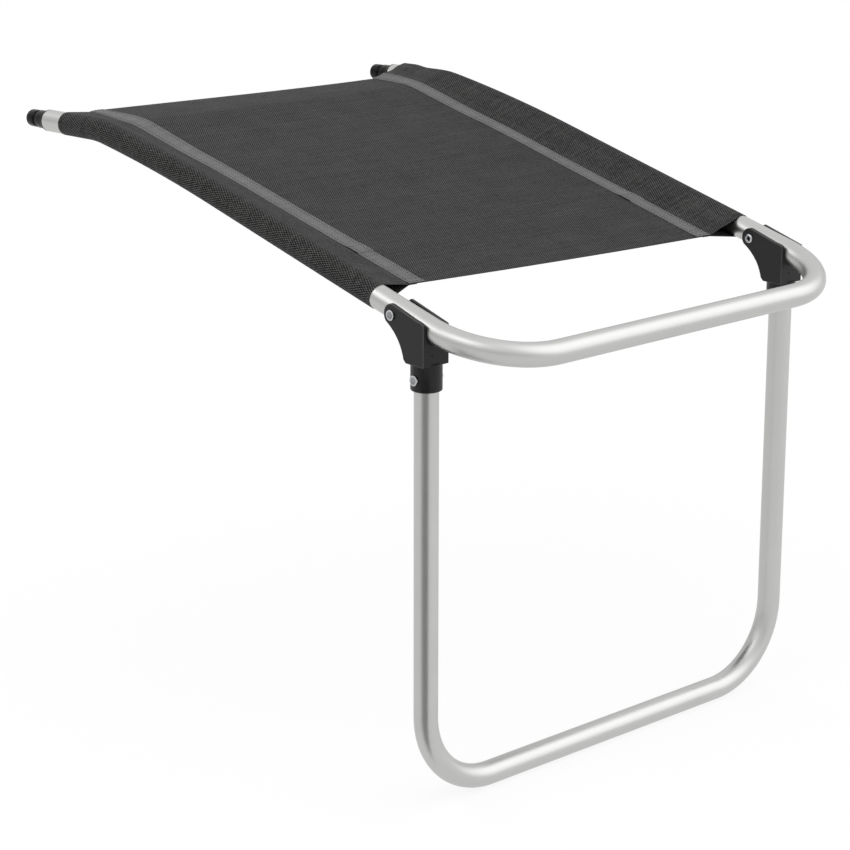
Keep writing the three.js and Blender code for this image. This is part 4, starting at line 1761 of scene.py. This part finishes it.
    def dress(self) -> None:
        """Mesh, sleeves, bands and their stitching."""
        seat, sleeve, tape, thread = (f.material() for f in (SEAT_MESH, SLEEVE_MESH, BAND_TAPE, THREAD))
        panel = dress(self.panel(), Body.SEAT, Slot.SEAT, seat, "seat_panel")
        for side, sign in SIDES:
            band = self.band(side, sign)
            dress(band, Body.SEAT, Slot.BAND, tape, f"{side}_seam_band")
            dress(self.stitching(side, sign), Body.SEAT, Slot.BAND, thread)
            pocket = dress(self.sleeve(side, sign), Body.SEAT, Slot.SLEEVE, sleeve, f"{side}_sleeve")
            self.sleeve_flat(sign)
        width, length = self.panel_flat()

    def panel_flat(self) -> tuple[float, float]:
        """Measures the sheet between the seams, before it was sewn.

        Returns:
            Its width and length.
        """
        front, rear = self.front, self.rear
        width = self.rail.spacing - 2.0 * (self.mean_inset + self.seam_lap)
        length = rear.left_seam + rear.right_seam - front.left_seam - front.right_seam
        return width, length / 2.0

    def sleeve_flat(self, sign: float) -> tuple[float, float]:
        """Measures the strip that goes round a rail, with both of its tongues.

        Args:
            sign: -1 for the left side and 1 for the right one.

        Returns:
            Its width and length.
        """
        front, rear = self.front, self.rear
        inset, radius = self.mean_inset, self.girth_radius
        straight = math.sqrt(inset**2 - radius**2)
        wrap = 2.0 * math.pi - 2.0 * math.acos(radius / inset)
        width = 2.0 * (straight + self.seam_lap) + radius * wrap
        if sign < 0.0:
            return width, rear.left_rail - front.left_rail
        return width, rear.right_rail - front.right_rail


# Studio


@dataclass(frozen=True)
class Lamp:
    """A soft rectangular light that shines from its place towards another point."""

    name: str
    light: float
    place: Point
    aim: Point
    size: tuple[float, float]

    def build(self) -> None:
        """Links the lamp, turned from straight down to face its aim."""
        data = bpy.data.lights.new(self.name, "AREA")
        data.shape = "RECTANGLE"
        data.size, data.size_y = self.size
        data.energy = self.light * math.pi * self.size[0] * self.size[1]
        made = bpy.data.objects.new(self.name, data)
        made.location = self.place
        x, y, z = np.array(self.aim) - np.array(self.place)
        made.rotation_euler = (math.atan2(math.hypot(x, y), -z), 0.0, math.atan2(-x, y))
        bpy.context.scene.collection.objects.link(made)


@dataclass(frozen=True)
class Studio:
    """Pale floor, soft lights and the photograph's camera."""

    image_size: float = 850.0
    focal_pixels: float = 2519.5
    optical_axis: tuple[float, float] = (407.9, 335.0)
    sensor: float = 36.0
    place: Point = (-1.5924, -2.1863, 0.4543)
    yaw: float = math.radians(40.531)
    pitch: float = math.radians(15.044)
    floor_half: float = 30.0
    floor_share: float = 0.86
    floor_colour: Colour = (236, 236, 236)
    matt: float = 0.9
    wall_light: float = 0.72
    ceiling_light: float = 0.3
    ceiling_start: tuple[float, float] = (0.1, 0.6)
    window: Point = (0.64, -0.56, 0.52)
    window_light: float = 1.0
    window_edge: tuple[float, float] = (0.66, 0.93)
    lamps: tuple[Lamp, ...] = (
        Lamp("key", 1.24, (-1.8, -1.0, 2.2), (0.0, -0.35, -0.2), (1.6, 1.6)),
        Lamp("side", 1.25, (-0.85, 0.15, 0.75), (-0.2, -0.45, 0.0), (1.3, 0.5)),
    )
    card_place: tuple[float, float] = (-0.626, -0.6645)
    card_facing: tuple[float, float] = (-0.0582, 0.9983)
    card_size: tuple[float, float] = (0.772, 0.4)
    card_colour: Colour = (168, 168, 168)

    def camera(self) -> None:
        """A camera that looks yaw to the right of +Y and pitch down."""
        data = bpy.data.cameras.new("camera")
        data.sensor_width = self.sensor
        data.lens = self.focal_pixels * self.sensor / self.image_size
        middle = self.image_size / 2.0
        data.shift_x = (middle - self.optical_axis[0]) / self.image_size
        data.shift_y = (self.optical_axis[1] - middle) / self.image_size
        made = bpy.data.objects.new("camera", data)
        made.location = self.place
        made.rotation_euler = (QUARTER - self.pitch, 0.0, -self.yaw)
        bpy.context.scene.collection.objects.link(made)
        bpy.context.scene.camera = made

    def floor(self) -> None:
        """A pale floor that keeps the shadow, and that camera and metal see as nearly white."""
        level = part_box("leg_frame_tube")[0].z
        corner = np.array([-self.floor_half, self.floor_half])
        x, y = np.meshgrid(corner, corner, indexing="ij")
        made = Surface().grid(np.stack([x, y, np.full_like(x, level)], axis=-1)).build("floor")
        tree = Tree.named("floor")
        tree.principled(base_color=linear(*self.floor_colour), roughness=self.matt)
        seen = tree.node("ShaderNodeLightPath", {}, {}, "Is Camera Ray")
        glossy = Value(tree, seen.socket.node.outputs["Is Glossy Ray"])
        glow = tree.node("ShaderNodeEmission", {}, {"Strength": 1.0})
        share = (seen + glossy).clamp() * self.floor_share
        shader = Value(tree, tree.shader.outputs[0])
        mixed = tree.node("ShaderNodeMixShader", {}, {0: share, 1: shader, 2: glow})
        output = next(n for n in tree.nodes if n.type == "OUTPUT_MATERIAL")
        tree.links.new(mixed.socket, output.inputs["Surface"])
        made.data.materials.append(tree.owner)
        made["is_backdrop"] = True

    def card(self) -> None:
        """A grey card beside the left leg, seen only as the dark line that it leaves on metal."""
        facing = unit(np.array(self.card_facing))
        along = np.array([facing[1], -facing[0]]) * self.card_size[0] / 2.0
        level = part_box("leg_frame_tube")[0].z
        ends = np.array(self.card_place) + np.array([-along, along])
        corners = [[(*end, level), (*end, level + self.card_size[1])] for end in ends]
        made = Surface().grid(np.array(corners)).build("card")
        tree = Tree.named("card")
        tree.principled(base_color=linear(*self.card_colour), roughness=self.matt)
        made.data.materials.append(tree.owner)
        made.visible_camera = made.visible_diffuse = made.visible_shadow = False
        made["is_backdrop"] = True

    def world(self) -> None:
        """A pale room, brighter overhead and at a window, that the camera sees as white.

        Light from a direction is the walls' level, plus the ceiling's share above the walls, plus
        the window's share near its middle.
        """
        tree = Tree(bpy.data.worlds.new("studio"))
        towards = tree.node("ShaderNodeTexCoord", {}, {}, "Generated")
        height = Value(tree, tree.node("ShaderNodeSeparateXYZ", {}, {0: towards}).socket.node.outputs[2])
        aim = {0: towards, 1: tuple(unit(np.array(self.window)))}
        facing = tree.node("ShaderNodeVectorMath", {"operation": "DOT_PRODUCT"}, aim, 1)
        level = (
            tree.step(height, *self.ceiling_start) * self.ceiling_light
            + tree.step(facing, *self.window_edge) * self.window_light
            + self.wall_light
        )
        seen = tree.node("ShaderNodeLightPath", {}, {}, "Is Camera Ray")
        tree.put(tree.shader.inputs["Strength"], level + seen * (1.0 - level))
        tree.put(tree.shader.inputs["Color"], (1.0, 1.0, 1.0, 1.0))
        bpy.context.scene.world = tree.owner

    def build(self) -> None:
        """Camera, floor, card, world and lamps."""
        self.camera()
        self.floor()
        self.card()
        self.world()
        for lamp in self.lamps:
            lamp.build()
        bpy.context.scene.view_settings.view_transform = "Standard"


def main() -> None:
    """Builds and dresses every piece in order."""
    logging.basicConfig(level=logging.INFO, format="%(message)s")
    rail, tube = RailCourse(), Tube()
    bracket = Bracket(rail, tube)
    Studio().build()
    SeatTube(rail, tube).dress()
    LegTube(rail, tube).dress()
    EndPlug(rail, tube).dress()
    bracket.dress()
    zinc = ZINC.material()
    pivot_pin = Rivet(
        "pivot_pin",
        "pivot_rivet",
        Body.SEAT,
        shank_diameter=0.006,
        head_diameter=0.0095,
        head_height=0.0016,
        grip=bracket.width,
    )
    pivot_pin.dress(rail.datum + np.array([0.0, *bracket.pivot]), rail.offset, zinc)
    socket_pin = Rivet(
        "socket_pin",
        "socket_rivet",
        Body.LEG,
        shank_diameter=0.005,
        head_diameter=0.0094,
        head_height=0.0012,
        grip=bracket.socket_diameter,
    )
    socket_pin.dress(rail.datum - bracket.socket_rivet_drop * Z_AXIS, rail.offset, zinc)
    MeshSeat(rail, tube).dress()
    boxes = {"cad": CAD_BOX, "visual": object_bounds()}
    {name: [list(corner) for corner in box] for name, box in boxes.items()}


if __name__ == "__main__":
    main()
